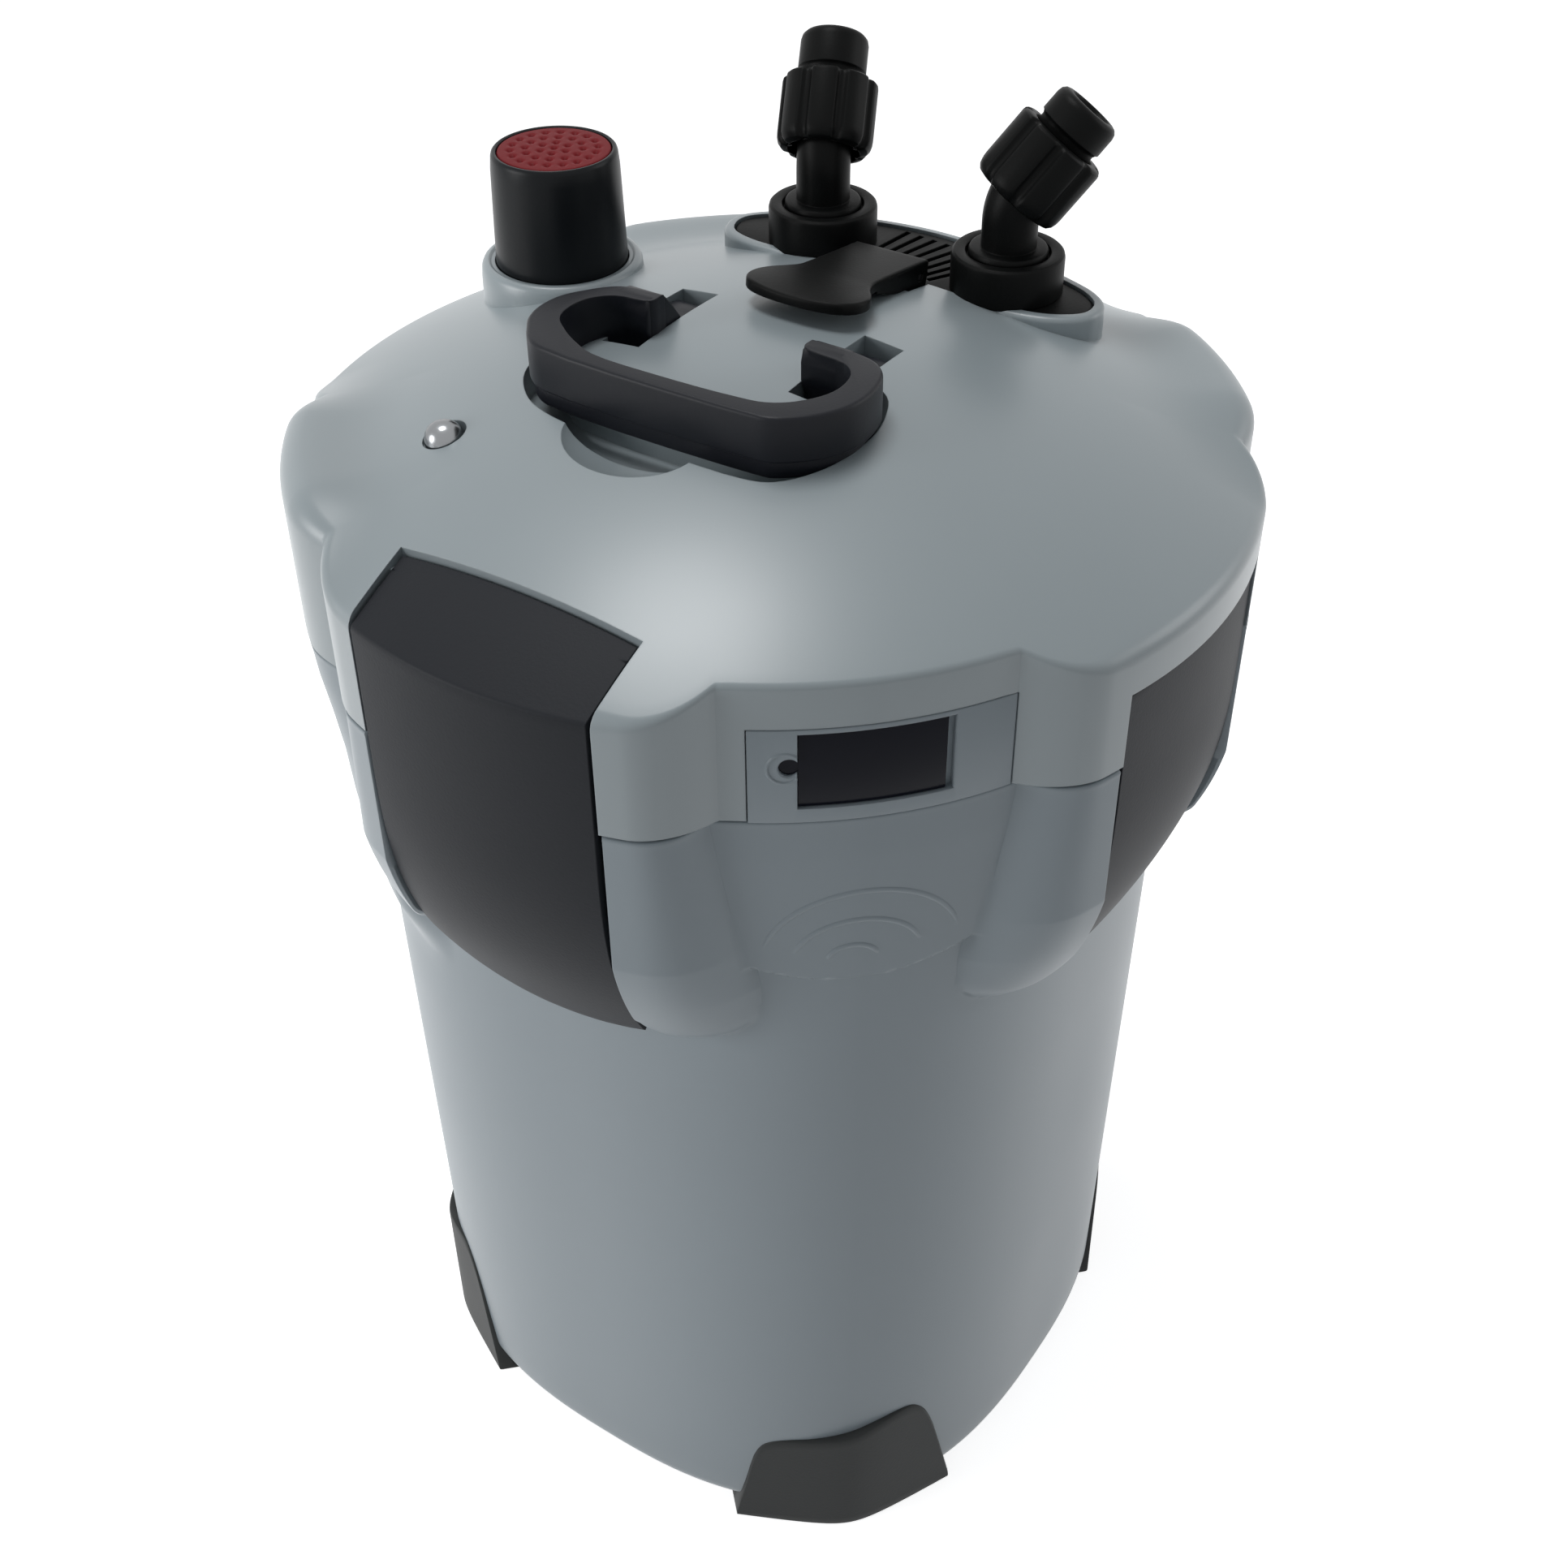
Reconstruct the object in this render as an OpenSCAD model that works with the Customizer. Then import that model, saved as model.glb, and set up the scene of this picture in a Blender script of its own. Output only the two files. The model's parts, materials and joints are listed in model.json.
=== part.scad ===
// Canister filter for an aquarium.
// Origin: on the barrel's axis, at the floor. +Z up, +X right latch, -Y front latch.

/* [Barrel] */
// Half the width across the barrel's flat sides at the floor
barrel_half = 112.3; // [109:0.1:114]
// Growth of that half width per millimetre of height
barrel_flare = 0.0125; // [0:0.0005:0.0135]
// Squareness of the rounded-square plan, 2 is a circle
barrel_square = 2.6; // [2.4:0.05:2.8]
// Wall thickness of the barrel
barrel_wall = 3.5; // [2.5:0.1:4]
// Height of the barrel's underside above the floor
barrel_lift = 5; // [4:0.5:8]
// Thickness of the barrel's floor
barrel_floor = 4; // [3:0.5:6]
// Height of the seam between barrel and head
seam_z = 321; // [318:0.5:324]
// Radius of the barrel's round mouth
mouth_r = 106; // [104.5:0.1:106.5]
// Depth of the thick flange round the mouth
mouth_h = 18; // [14:0.5:20]
// Height of the pods' lower end
pod_bottom = 228; // [224:1:230]

/* [Head] */
// Radius of the four lobes over the latches
lobe_r = 139.5; // [139:0.1:141]
// Radius at the creases beside the lobes and along the front corner
crease_r = 128; // [127:0.1:129]
// Radius of the three raised corners
corner_r = 137.5; // [136:0.1:139]
// Radius of the domed top
dome_r = 300; // [290:1:310]
// Height of the dome's top
dome_z = 391.3; // [390.5:0.1:392]
// Wall thickness of the head
head_wall = 3; // [2:0.1:3.4]
// Distance from the axis to the recess floor behind a latch
recess_x = 117; // [116.8:0.1:118]

/* [Latches] */
// Width of a latch
latch_w = 76; // [70:0.5:78]
// Wall thickness of a latch
latch_t = 3; // [2:0.1:3.4]
// Height of the hinge pins
latch_pivot_z = 243; // [242:0.5:245]
// Radius of a latch's knuckle
knuckle_r = 2.3; // [2.2:0.05:2.4]
// Radius of a hinge pin
latch_pin_r = 1.2; // [1:0.05:1.3]
// Height of the top edge of the side latches
side_top = 344; // [342:0.5:348]
// How far the middle of a side latch lies inside the lobe
side_inset = 3.2; // [2.8:0.1:3.6]
// Radius of a side latch's flat arc in plan
side_arc_r = 242; // [220:1:260]
// Distance from the axis to the back edge of the front latch's flap
flap_x = 112.6; // [111:0.1:114]
// Height of the front latch's flap underside
flap_z = 363.4; // [362.6:0.1:364]

/* [Feet] */
// Radius of a foot's outer arc
foot_arc_r = 67.6; // [60:0.1:76]
// Distance from the axis to a foot's outermost line
foot_x = 125.2; // [124.6:0.1:126.5]
// Height of a foot's highest point
foot_h = 56; // [40:0.5:60]
// Width of a foot at the floor
foot_w = 76; // [64:0.5:78]

/* [Handle] */
// Height of the handle's top face
handle_top = 400; // [399.5:0.1:402]
// Thickness of the handle
handle_h = 13; // [12.5:0.1:13.3]
// Half the width of the handle
handle_half = 51; // [50:0.1:52]
// X of the handle's middle
handle_x = -2; // [-3:0.1:-1]
// Y of the front of the handle
handle_front = -55.5; // [-57:0.1:-55]
// Y of the back of the handle's loop
handle_back = -13; // [-13.5:0.1:-12.5]
// Y of the handle's hinge axis
handle_pivot_y = 8; // [7.5:0.1:8.5]
// Z of the handle's hinge axis
handle_pivot_z = 382; // [381.8:0.1:382.2]
// Width of a handle leg
leg_w = 11.8; // [10:0.1:12]
// Distance between the middles of the two legs
leg_gap = 62; // [60:0.5:63]
// Radius of the handle's pins
handle_pin_r = 2; // [1.5:0.05:2.4]

/* [Primer] */
// X of the priming knob's axis
primer_x = -89.3; // [-89.5:0.1:-88.8]
// Y of the priming knob's axis
primer_y = 19; // [18:0.1:20]
// Radius of the knob's skirt
knob_r = 20; // [19.5:0.05:20.2]
// Radius of the knob's top edge
knob_top_r = 18.7; // [18.4:0.05:19]
// Height of the knob's top
knob_top = 418; // [417:0.5:420]
// How far the knob is pushed down
primer_stroke = 25; // [15:1:26]

/* [Valve block] */
// X of the two ports, either side of the middle
port_x = 32.2; // [31.8:0.1:33]
// Y of the two ports
port_y = 76; // [75.8:0.1:76.5]
// Height of the black plate's top face
plate_z = 383; // [382.8:0.1:383.3]
// Thickness of the black plate
plate_t = 6.8; // [6:0.1:7]
// Y of the plate's straight front edge
plate_front = 63; // [62.5:0.1:63.3]
// Y of the plate's back edge at the middle
plate_back = 96.7; // [96:0.1:97.5]
// Half the length of the plate
plate_half = 60; // [58:0.5:61]
// Radius of the collars round the ports
collar_r = 16.6; // [16:0.1:16.8]
// Height of the collars' top
collar_top = 395; // [394:0.5:396]
// Y of the lever's hinge
lever_y = 60; // [59.5:0.1:60.5]
// Z of the lever's hinge
lever_z = 387.6; // [387.5:0.1:388]
// Length of the lever from its hinge
lever_len = 53; // [48:0.5:56]
// Half the lever's width at the paddle
lever_half = 19.3; // [17:0.1:20]
// Radius of the cranks that the valve link joins
crank_r = 6; // [5.8:0.1:6.2]

/* [Hose connectors] */
// Outer radius of an elbow's tube
elbow_r = 8.2; // [7.6:0.1:8.2]
// Radius of the water way
bore_r = 6; // [5:0.1:6.2]
// Height at which an elbow bends
bend_z = 410; // [409:0.5:412]
// Tilt of the upper arm from the vertical
bend_angle = 40; // [35:1:42]
// Direction of the left arm, from +X towards +Y
left_dir = 114; // [100:1:130]
// Direction of the right arm, from +X towards +Y
right_dir = 42; // [30:1:60]
// Outer radius of a union nut over its flutes
nut_r = 14.6; // [14:0.1:15]
// Length of a union nut
nut_len = 21.4; // [20:0.1:22]
// Radius of a hose tail where the hose sits
tail_r = 10; // [9.5:0.1:10.2]
// Length of a hose tail beyond the nut
tail_len = 14; // [12:0.5:18]

/* [Baskets] */
// Radius of a basket
basket_r = 102; // [98:0.5:103]
// Height of one basket
basket_h = 86; // [80:0.5:86.5]
// Wall of a basket
basket_wall = 2; // [1.5:0.1:3]
// Inner radius of a basket's duct
duct_r = 12.2; // [12.1:0.1:12.6]
// Space left free above the media in each basket
head_room = 16; // [10:1:30]

/* [Pump] */
// X of the pump's axis
pump_x = 20; // [18:0.5:21]
// Y of the pump's axis
pump_y = -15; // [-16:0.5:-14]
// Radius of the rotor magnet
rotor_r = 14; // [13:0.1:14.2]
// Inner radius of the rotor well
well_r = 14.8; // [14.6:0.1:15]
// Radius of the impeller
impeller_r = 22; // [18:0.5:24]
// Number of impeller blades
blades = 6; // [4:1:8]
// Outer radius of the pump chamber
volute_r = 30; // [28:0.5:31]

/* [Fits] */
// Gap between pieces that are fixed to each other
seat = 0.3; // [0.2:0.05:0.4]
// Radial clearance of a shaft or slide that runs in a bore
run = 0.05; // [0.02:0.01:0.08]
// Gap beside a latch
latch_gap = 0.6; // [0.4:0.05:1]

/* [Hidden] */
$fn = 96;
eps = 0.01;

// Heights
head_z = seam_z + seat;                    // underside of the head
base_top = head_z + 4;                     // top of the head base's flange
plug_z = seam_z - 12;                      // underside of the head base's plug
basket_z = barrel_lift + barrel_floor + 5; // underside of the lowest basket
basket_pitch = basket_h;
dome_c = dome_z - dome_r;                  // height of the dome's centre
cavity_z = dome_c;                         // the inner dome has the same centre
pocket_z = plate_z - plate_t - seat;       // floor of the valve block's pocket

// Latch hinge
pivot_x = barrel_half + barrel_flare * latch_pivot_z + 0.35 + knuckle_r;
latch_z = latch_pivot_z - 7;               // lowest point of a latch
latch_back_x = max(recess_x, barrel_at(seam_z) + 0.6) + 0.4; // back edge of a latch's cheeks
latch_in = latch_w / 2 - latch_t;          // half width inside the cheeks
knuckle_half = 13.6;                       // half length of a knuckle
lug_w = 5;                                 // width of a hinge lug
lug_x = knuckle_half + 0.4;                // inner face of a lug
bend_low = 310;                            // height below which the lobes draw in
bend_h = 75;                               // height over which they draw in
lobe_foot = 6.2625;                        // how far a lobe still stands proud of the barrel there
panel_in = 2.8;                            // depth of the badge panel's recess
panel_top = 350;                           // top of that recess
window_in = 1.8;                           // depth of the window's recess in the badge panel
rim_top = 369.4;                           // top of the raised rim over the high corners
crease = 27.9;                             // angle of a crease from the lobe's middle
groove = 0.6;                              // angle left open beside a crease
lobe_flat = 19;                            // angle to which a lobe keeps its full radius
catch_z = 333.5;                           // underside of a side latch's rib

// Internal places
pipe_r = duct_r - 0.7;                     // outer radius of the inlet pipe
way_r = pipe_r - 2;                        // radius of the water ways in the head
riser_r = way_r + 3;                       // outer radius of the port risers
riser_top = 344.5;                         // top of the risers
tube_r = 12.5;                             // outer radius of the valve block's tubes
ball_z = 357;                              // height of the valve balls and their shaft
ball_r = 10.5;                             // radius of a valve ball
well_top = 356;                            // top of the rotor well
core_z = base_top + 5.7;                   // underside of the motor core
core_h = 22;                               // height of the motor core
cylinder_r = 15;                           // outer radius of the priming cylinder
cylinder_top = 372;                        // top of the priming cylinder
skirt_z = 354.5;                           // lower edge of the knob's skirt
knob_roof = knob_top - 8;                  // underside of the knob's roof
stem_z = ball_z + ball_r + 1.5;            // lower end of an elbow
shell = 2.5;                               // wall of the handle's pockets
corner = 45;

// Plan radius of the barrel at an angle, for a half width a
function square_r(t, a) =
    a / pow(pow(abs(cos(t)), barrel_square) + pow(abs(sin(t)), barrel_square), 1 / barrel_square);
function barrel_at(z) = barrel_half + barrel_flare * z;
// Angle from the nearest lobe's middle, 0 to 45
function fold(t) = let (m = (t % 90 + 90) % 90) m > 45 ? 90 - m : m;
// True in the front corner, between the right and the front latch
function in_front(t) = t > 270;
// Plan radius of the head at an angle
function head_r(t) = let (f = fold(t))
    f <= lobe_flat ? lobe_r :
    f <= crease ? crease_r + (lobe_r - crease_r) * (1 - pow((f - lobe_flat) / (crease - lobe_flat), 1.8)) :
    in_front(t) ? crease_r :
    crease_r + (corner_r - crease_r) * min(1, (f - crease) / 6);
// Plan radius of the head's hollow: inside the recess floors and the outer wall
function hollow_r(t) = let (f = fold(t), edge = latch_w / 2 + latch_gap + head_wall)
    (recess_x - head_wall) * tan(f) < edge ? (recess_x - head_wall) / cos(f) : head_r(t) - head_wall;
// Radius of the lobes, pods and latches at a height
function lobe_at(z) = z >= bend_low ? lobe_r :
    lobe_r - (lobe_r - barrel_at(bend_low - bend_h) - lobe_foot) * pow((bend_low - z) / bend_h, 2.6);

module round_plan(step = 3) {
    polygon([for (t = [0:step:360 - step]) square_r(t, 1) * [cos(t), sin(t)]]);
}
// The barrel's outer form, drawn in by an inset
module barrel_form(z0, z1, inset = 0) {
    a0 = barrel_at(z0) - inset;
    a1 = barrel_at(z1) - inset;
    translate([0, 0, z0]) linear_extrude(z1 - z0, scale = a1 / a0) scale(a0) round_plan();
}
module head_plan() {
    polygon([for (t = [0:3:357]) head_r(t) * [cos(t), sin(t)]]);
}
module hollow_plan() {
    polygon([for (t = [0:3:357]) hollow_r(t) * [cos(t), sin(t)]]);
}
// A sector of a turned profile, from angle a0 to a1
module sector(a0, a1) {
    rotate(a0) rotate_extrude(angle = a1 - a0) children();
}
module dome(inset = 0) {
    translate([0, 0, dome_c]) sphere(dome_r - inset, $fn = 160);
}
module at_latches(list = [0:3]) {
    for (k = list) rotate(90 * k) children();
}
module ring(r_out, r_in, h) {
    difference() {
        cylinder(r = r_out, h = h);
        translate([0, 0, -1]) cylinder(r = r_in, h = h + 2);
    }
}
// A cylinder along X from x0 to x1
module rod_x(r, x0, x1) {
    translate([x0, 0, 0]) rotate([0, 90, 0]) cylinder(r = r, h = x1 - x0);
}
module block(x0, x1, y0, y1, z0, z1) {
    translate([x0, y0, z0]) cube([x1 - x0, y1 - y0, z1 - z0]);
}
// A rectangle with round corners, centred on x
module round_rect(half, y0, y1, r) {
    for (s = [-1, 1], y = [y0 + r, y1 - r]) translate([s * (half - r), y]) circle(r);
    translate([-half, y0 + r]) square([2 * half, y1 - y0 - 2 * r]);
    translate([r - half, y0]) square([2 * (half - r), y1 - y0]);
}

// ---------- barrel ----------
module pods() {
    difference() {
        intersection() {
            at_latches() sector(-crease, crease) polygon(concat(
                [[108, pod_bottom], [108, seam_z]],
                [for (i = [0:12]) let (z = seam_z + (pod_bottom - seam_z) * i / 12) [lobe_at(z), z]]));
            translate([0, 0, pod_bottom]) linear_extrude(seam_z - pod_bottom) head_plan();
        }
        at_latches() block(100, 160, -latch_w / 2 - latch_gap, latch_w / 2 + latch_gap,
            pod_bottom - 1, seam_z + 1);
    }
}
// Raised skirts under the three high corners
module corner_skirts() {
    for (k = [0:2]) rotate(90 * k) sector(crease + groove, 90 - crease - groove)
        polygon([[108, 221], [square_r(corner, barrel_at(221)) + 0.2, 221], [crease_r, 235],
            [corner_r - 6, 262], [corner_r - 4.5, 280], [corner_r - 1.5, 300], [corner_r, seam_z],
            [108, seam_z]]);
}
// Almost flush panel under the front corner
module front_skirt() {
    sector(-90 + crease + groove, -crease - 4) polygon([[108, 262], [square_r(corner, barrel_at(262)) + 0.3, 262],
        [crease_r - 2, 282], [crease_r - 0.5, seam_z], [108, seam_z]]);
}
module hinge_lugs() {
    at_latches() for (s = [-1, 1]) translate([pivot_x, s * (lug_x + lug_w / 2), latch_pivot_z])
        rotate([90, 0, 0]) translate([0, 0, -lug_w / 2]) {
            cylinder(r = knuckle_r, h = lug_w);
            translate([-6, -knuckle_r, 0]) cube([6, 2 * knuckle_r, lug_w]);
        }
}
module barrel() {
    color([0.66, 0.70, 0.71]) difference() {
        union() {
            barrel_form(barrel_lift, seam_z);
            pods();
            corner_skirts();
            front_skirt();
            hinge_lugs();
        }
        difference() {
            barrel_form(barrel_lift + barrel_floor, seam_z - mouth_h, barrel_wall);
            translate([0, 0, barrel_lift]) ring(84, 80, barrel_floor + 5 - seat);
        }
        translate([0, 0, seam_z - mouth_h - 1]) cylinder(r = mouth_r, h = mouth_h + 2);
        at_latches() translate([pivot_x, 0, latch_pivot_z]) rotate([90, 0, 0])
            cylinder(r = latch_pin_r + 0.02, h = 2 * (lug_x + lug_w - 0.8), center = true);
    }
}
// The outline of a foot seen from outside, wider at the floor and wavy along the top
module foot_outline() {
    w = foot_w / 2;
    polygon([[-w, 0], [-w + 8, foot_h - 10], [-w + 12, foot_h - 8], [-w + 28, foot_h - 8],
        [-w + 42, foot_h - 4], [-w + 52, foot_h - 0.5], [-w + 58, foot_h], [-w + 62, foot_h - 2],
        [w - 4, foot_h * 0.55], [w, foot_h * 0.3], [w - 2, 0]]);
}
// A corner foot, k quarter turns from the front right corner
module foot(k) {
    color([0.27, 0.28, 0.28]) rotate(90 * k - corner) difference() {
        intersection() {
            translate([foot_x - foot_arc_r, 0, 0]) cylinder(r = foot_arc_r, h = foot_h + 1);
            translate([foot_x - 34, 0, 0]) rotate([90, 0, 90]) linear_extrude(40) foot_outline();
        }
        rotate(corner) barrel_form(barrel_lift - seat, foot_h + 2, -0.2);
    }
}

// ---------- head ----------
// Raised rim over the three high corners
module raised_corners() {
    for (k = [0:2]) rotate(90 * k) sector(crease + 3, 90 - crease - 3)
        polygon([[corner_r - 25.5, head_z], [corner_r - 25.5, rim_top - 3.4],
            [corner_r - 19.5, rim_top - 1], [corner_r - 11.5, rim_top], [corner_r - 6.5, rim_top - 0.8],
            [corner_r - 2.5, rim_top - 3.9], [corner_r, rim_top - 9.4], [corner_r, head_z]]);
}
// Outline of the black plate, grown by a margin
module plate_plan(grow = 0) {
    back_r = 133.5 + grow;
    end_r = 9 + grow;
    intersection() {
        translate([0, plate_back - 133.5]) circle(back_r, $fn = 200);
        union() {
            translate([-plate_half + 9, plate_front - grow])
                square([2 * plate_half - 18, 60]);
            for (s = [-1, 1]) {
                translate([s * (plate_half - 9), plate_front + 9]) circle(end_r);
                translate([s * (plate_half - 9) - end_r, plate_front + 9]) square([2 * end_r, 30]);
            }
        }
    }
}
// The tongue under the lever's hinge
module tongue_plan(grow = 0) {
    translate([-13.2 - grow, 51 - grow]) square([26.4 + 2 * grow, plate_front - 50 + 2 * grow]);
}
module pocket_box(s, grow) {
    x = handle_x + s * leg_gap / 2;
    block(x - leg_w / 2 - 0.4 - grow, x + leg_w / 2 + 0.4 + grow, -12 - grow, 14 + grow,
        374 - grow, 400);
}
module head_cover() {
    color([0.66, 0.70, 0.71]) difference() {
        union() {
            difference() {
                union() {
                    intersection() {
                        translate([0, 0, head_z]) linear_extrude(80) head_plan();
                        dome();
                    }
                    raised_corners();
                }
                intersection() {
                    translate([0, 0, head_z - 1]) linear_extrude(80) hollow_plan();
                    dome(head_wall);
                }
            }
            // plateau round the valve block
            translate([0, 0, pocket_z - 6]) linear_extrude(plate_z + 0.3 - pocket_z + 6) plate_plan(3.4);
            // collar and sleeve for the priming knob
            translate([primer_x, primer_y, skirt_z + 3.5]) cylinder(r = knob_r + 4, h = 385 - skirt_z - 3.5);
            // walls of the handle's pockets
            intersection() {
                for (s = [-1, 1]) pocket_box(s, shell);
                dome(1);
            }
            // floor of the finger scoop
            intersection() {
                translate([handle_x - 2, -60, 372]) cylinder(r = 22, h = 20);
                dome(1);
            }
            // boss for the cover screw
            translate([-56, -74, 355]) cylinder(r = 6, h = 18);
            // ledges under the ribs of the side latches
            at_latches([0:2]) block(recess_x - 1, 124, -30, 30, catch_z - 6.5, catch_z - 0.4);
        }
        // recesses for the latches
        at_latches([0:2]) difference() {
            block(recess_x, 160, -latch_w / 2 - latch_gap, latch_w / 2 + latch_gap,
                head_z - 1, side_top + 0.5);
            block(recess_x - 1, 124, -30, 30, catch_z - 6.5, catch_z - 0.4);
        }
        rotate(-90) {
            block(recess_x, 160, -latch_w / 2 - latch_gap, latch_w / 2 + latch_gap, head_z - 1, 400);
            block(flap_x - 0.6, 160, -latch_w / 2 - latch_gap, latch_w / 2 + latch_gap,
                flap_z - 0.4, 400);
        }
        // valve block
        translate([0, 0, pocket_z]) linear_extrude(20) plate_plan(seat);
        translate([0, 0, pocket_z]) linear_extrude(20) tongue_plan(seat);
        for (s = [-1, 1]) translate([s * port_x, port_y, 0]) {
            translate([0, 0, pocket_z - 20]) cylinder(r = tube_r + 0.4, h = 30);
            translate([0, 0, plate_z]) cylinder(r = collar_r + 0.4, h = 20);
        }
        block(-5.4, 5.4, 52, 84, pocket_z - 10, pocket_z + 1);
        // priming knob
        translate([primer_x, primer_y, 340]) cylinder(r = knob_r + run, h = 60);
        // handle: trough, pockets and pins
        translate([handle_x, 0, handle_top - handle_h - 1.5]) linear_extrude(30) difference() {
            round_rect(handle_half + 2, handle_front - 3, handle_back + 2, 18);
            round_rect(handle_half - 10.5, handle_front + 6.5, handle_back - 10, 12);
            translate([leg_w / 2 - leg_gap / 2 + 1.5, handle_back - 14])
                square([leg_gap - leg_w - 3, 30]);
        }
        for (s = [-1, 1]) pocket_box(s, 0);
        translate([handle_x, handle_pivot_y, handle_pivot_z])
            rod_x(handle_pin_r + 0.02, -leg_gap / 2 - leg_w / 2 - 1.6, -leg_gap / 2 + leg_w / 2 + 1.6);
        translate([handle_x, handle_pivot_y, handle_pivot_z])
            rod_x(handle_pin_r + 0.02, leg_gap / 2 - leg_w / 2 - 1.6, leg_gap / 2 + leg_w / 2 + 1.6);
        // finger scoop
        translate([handle_x - 2, -60, 378]) cylinder(r1 = 15, r2 = 20, h = 9);
        // cover screw
        translate([-56, -74, 340]) cylinder(r = 2.02, h = 60);
        translate([-56, -74, 372.6]) cylinder(r = 5.3, h = 20);
        // badge panel
        difference() {
            sector(-59.3, -27.5) polygon([[crease_r - panel_in, head_z - 1], [crease_r + 12, head_z - 1],
                [crease_r + 12, panel_top + seat], [crease_r - panel_in, panel_top + seat]]);
            translate([0, 0, 300]) cylinder(r = crease_r - panel_in, h = 60);
        }
        // cable gland
        rotate(135) translate([corner_r - 12, 0, 338]) rod_x(5.02, 0, 20);
    }
}
// The base closes the head, plugs the barrel's mouth and holds the rotor well and the risers
module head_base() {
    color([0.30, 0.32, 0.33]) difference() {
        union() {
            translate([0, 0, plug_z]) cylinder(r = mouth_r - seat, h = head_z - plug_z);
            translate([0, 0, head_z]) cylinder(r = recess_x - head_wall - 1, h = base_top - head_z);
            for (s = [-1, 1]) translate([s * port_x, port_y, base_top - 1])
                cylinder(r = riser_r, h = riser_top - base_top + 1);
            translate([pump_x, pump_y, base_top - 1]) cylinder(r = well_r + 2.5, h = well_top - base_top + 1);
            for (x = [-17, 17]) translate([pump_x + x, pump_y - 62, base_top - 1])
                cylinder(r = 4, h = core_z - seat - base_top + 1);
        }
        translate([0, 0, seam_z - 8.2]) ring(mouth_r + 2, mouth_r - 4.2, 4.4);
        for (s = [-1, 1]) translate([s * port_x, port_y, plug_z - 1])
            cylinder(r = way_r, h = riser_top - plug_z + 2);
        translate([pump_x, pump_y, plug_z - 1]) cylinder(r = well_r, h = well_top - 3 - plug_z + 1);
        translate([primer_x, primer_y, plug_z - 1]) cylinder(r = 4, h = 40);
    }
}
module sealing_ring() {
    color([0.12, 0.12, 0.12]) translate([0, 0, seam_z - 6]) rotate_extrude()
        translate([mouth_r - 2.1, 0]) circle(2, $fn = 24);
}
module badge_panel() {
    color([0.66, 0.70, 0.71]) difference() {
        sector(-58.8, -28) polygon([[crease_r - panel_in + seat, head_z], [crease_r + 0.3, head_z],
            [crease_r + 0.3, panel_top], [crease_r - panel_in + seat, panel_top]]);
        sector(-53.5, -35.4) polygon([[crease_r - window_in, panel_top - 24.2], [crease_r + 12, panel_top - 24.2],
            [crease_r + 12, panel_top - 1.3], [crease_r - window_in, panel_top - 1.3]]);
    }
}
module front_window() {
    color([0.09, 0.10, 0.16]) sector(-53.3, -35.6)
        polygon([[crease_r - window_in + 0.2, panel_top - 24], [crease_r - 0.3, panel_top - 24],
            [crease_r - 0.3, panel_top - 1.5], [crease_r - window_in + 0.2, panel_top - 1.5]]);
}
module cover_screw() {
    color([0.8, 0.8, 0.82]) translate([-56, -74, 0]) difference() {
        union() {
            translate([0, 0, 356]) cylinder(r = 2, h = 17);
            translate([0, 0, 372.8]) cylinder(r = 5, h = 2);
            translate([0, 0, 374.8]) intersection() {
                cylinder(r = 5, h = 3);
                translate([0, 0, -5.2]) sphere(7.2);
            }
        }
        for (a = [0, 90]) rotate(a + 20) block(-3, 3, -0.5, 0.5, 375.6, 380);
    }
}
module cable_gland() {
    color([0.14, 0.14, 0.15]) rotate(135) translate([corner_r - 11.8, 0, 338]) difference() {
        union() {
            rod_x(5, 0, 12.5);
            rod_x(8, 12.1, 16);
            translate([15.5, 0, 0]) rotate([0, 90, 0]) cylinder(r1 = 6, r2 = 4.6, h = 9);
        }
        rod_x(3.6, -1, 30);
    }
}

// ---------- baskets and media ----------
module basket(k) {
    z = basket_z + basket_pitch * k;
    color([0.24, 0.26, 0.28]) translate([0, 0, z]) difference() {
        union() {
            ring(basket_r, basket_r - basket_wall, basket_h - seat);
            cylinder(r = basket_r - 1, h = 2.5);
            translate([-port_x, port_y, 0]) cylinder(r = duct_r + 2, h = basket_h - seat);
        }
        translate([-port_x, port_y, -1]) cylinder(r = duct_r, h = basket_h + 2);
        for (x = [-84:12:84]) let (half = sqrt(pow(basket_r - 12, 2) - x * x))
            difference() {
                block(x - 1.5, x + 1.5, -half, half, -1, 3.5);
                translate([-port_x, port_y, -2]) cylinder(r = duct_r + 4, h = 8);
                block(-90, 90, -3, 3, -2, 4);
            }
    }
}
module media_pad(k, z0, z1) {
    translate([0, 0, basket_z + basket_pitch * k]) difference() {
        translate([0, 0, z0]) cylinder(r = basket_r - basket_wall - 0.8, h = z1 - z0);
        translate([-port_x, port_y, 0]) cylinder(r = duct_r + 2.6, h = basket_h);
    }
}
module coarse_sponge() {
    color([0.15, 0.22, 0.42]) media_pad(0, 2.8, basket_h - head_room);
}
module ceramic_media() {
    pitch = 23;
    tube = 10.8;
    reach = basket_r - basket_wall - tube - 0.6;
    color([0.88, 0.86, 0.80]) translate([0, 0, basket_z + basket_pitch])
        for (i = [-5:5], j = [-5:5])
            let (x = pitch * (i + j / 2), y = pitch * j * sqrt(3) / 2,
                from_duct = sqrt(pow(x + port_x, 2) + pow(y - port_y, 2)))
                if (sqrt(x * x + y * y) < reach && from_duct > duct_r + tube + 3)
                    translate([x, y, 2.8]) ring(tube, 4, basket_h - head_room - 2.8);
}
module fine_sponge() {
    color([0.75, 0.74, 0.62]) media_pad(2, 2.8, 42);
}
module filter_floss() {
    color([0.93, 0.93, 0.90]) media_pad(2, 42.3, basket_h - head_room);
}
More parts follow.
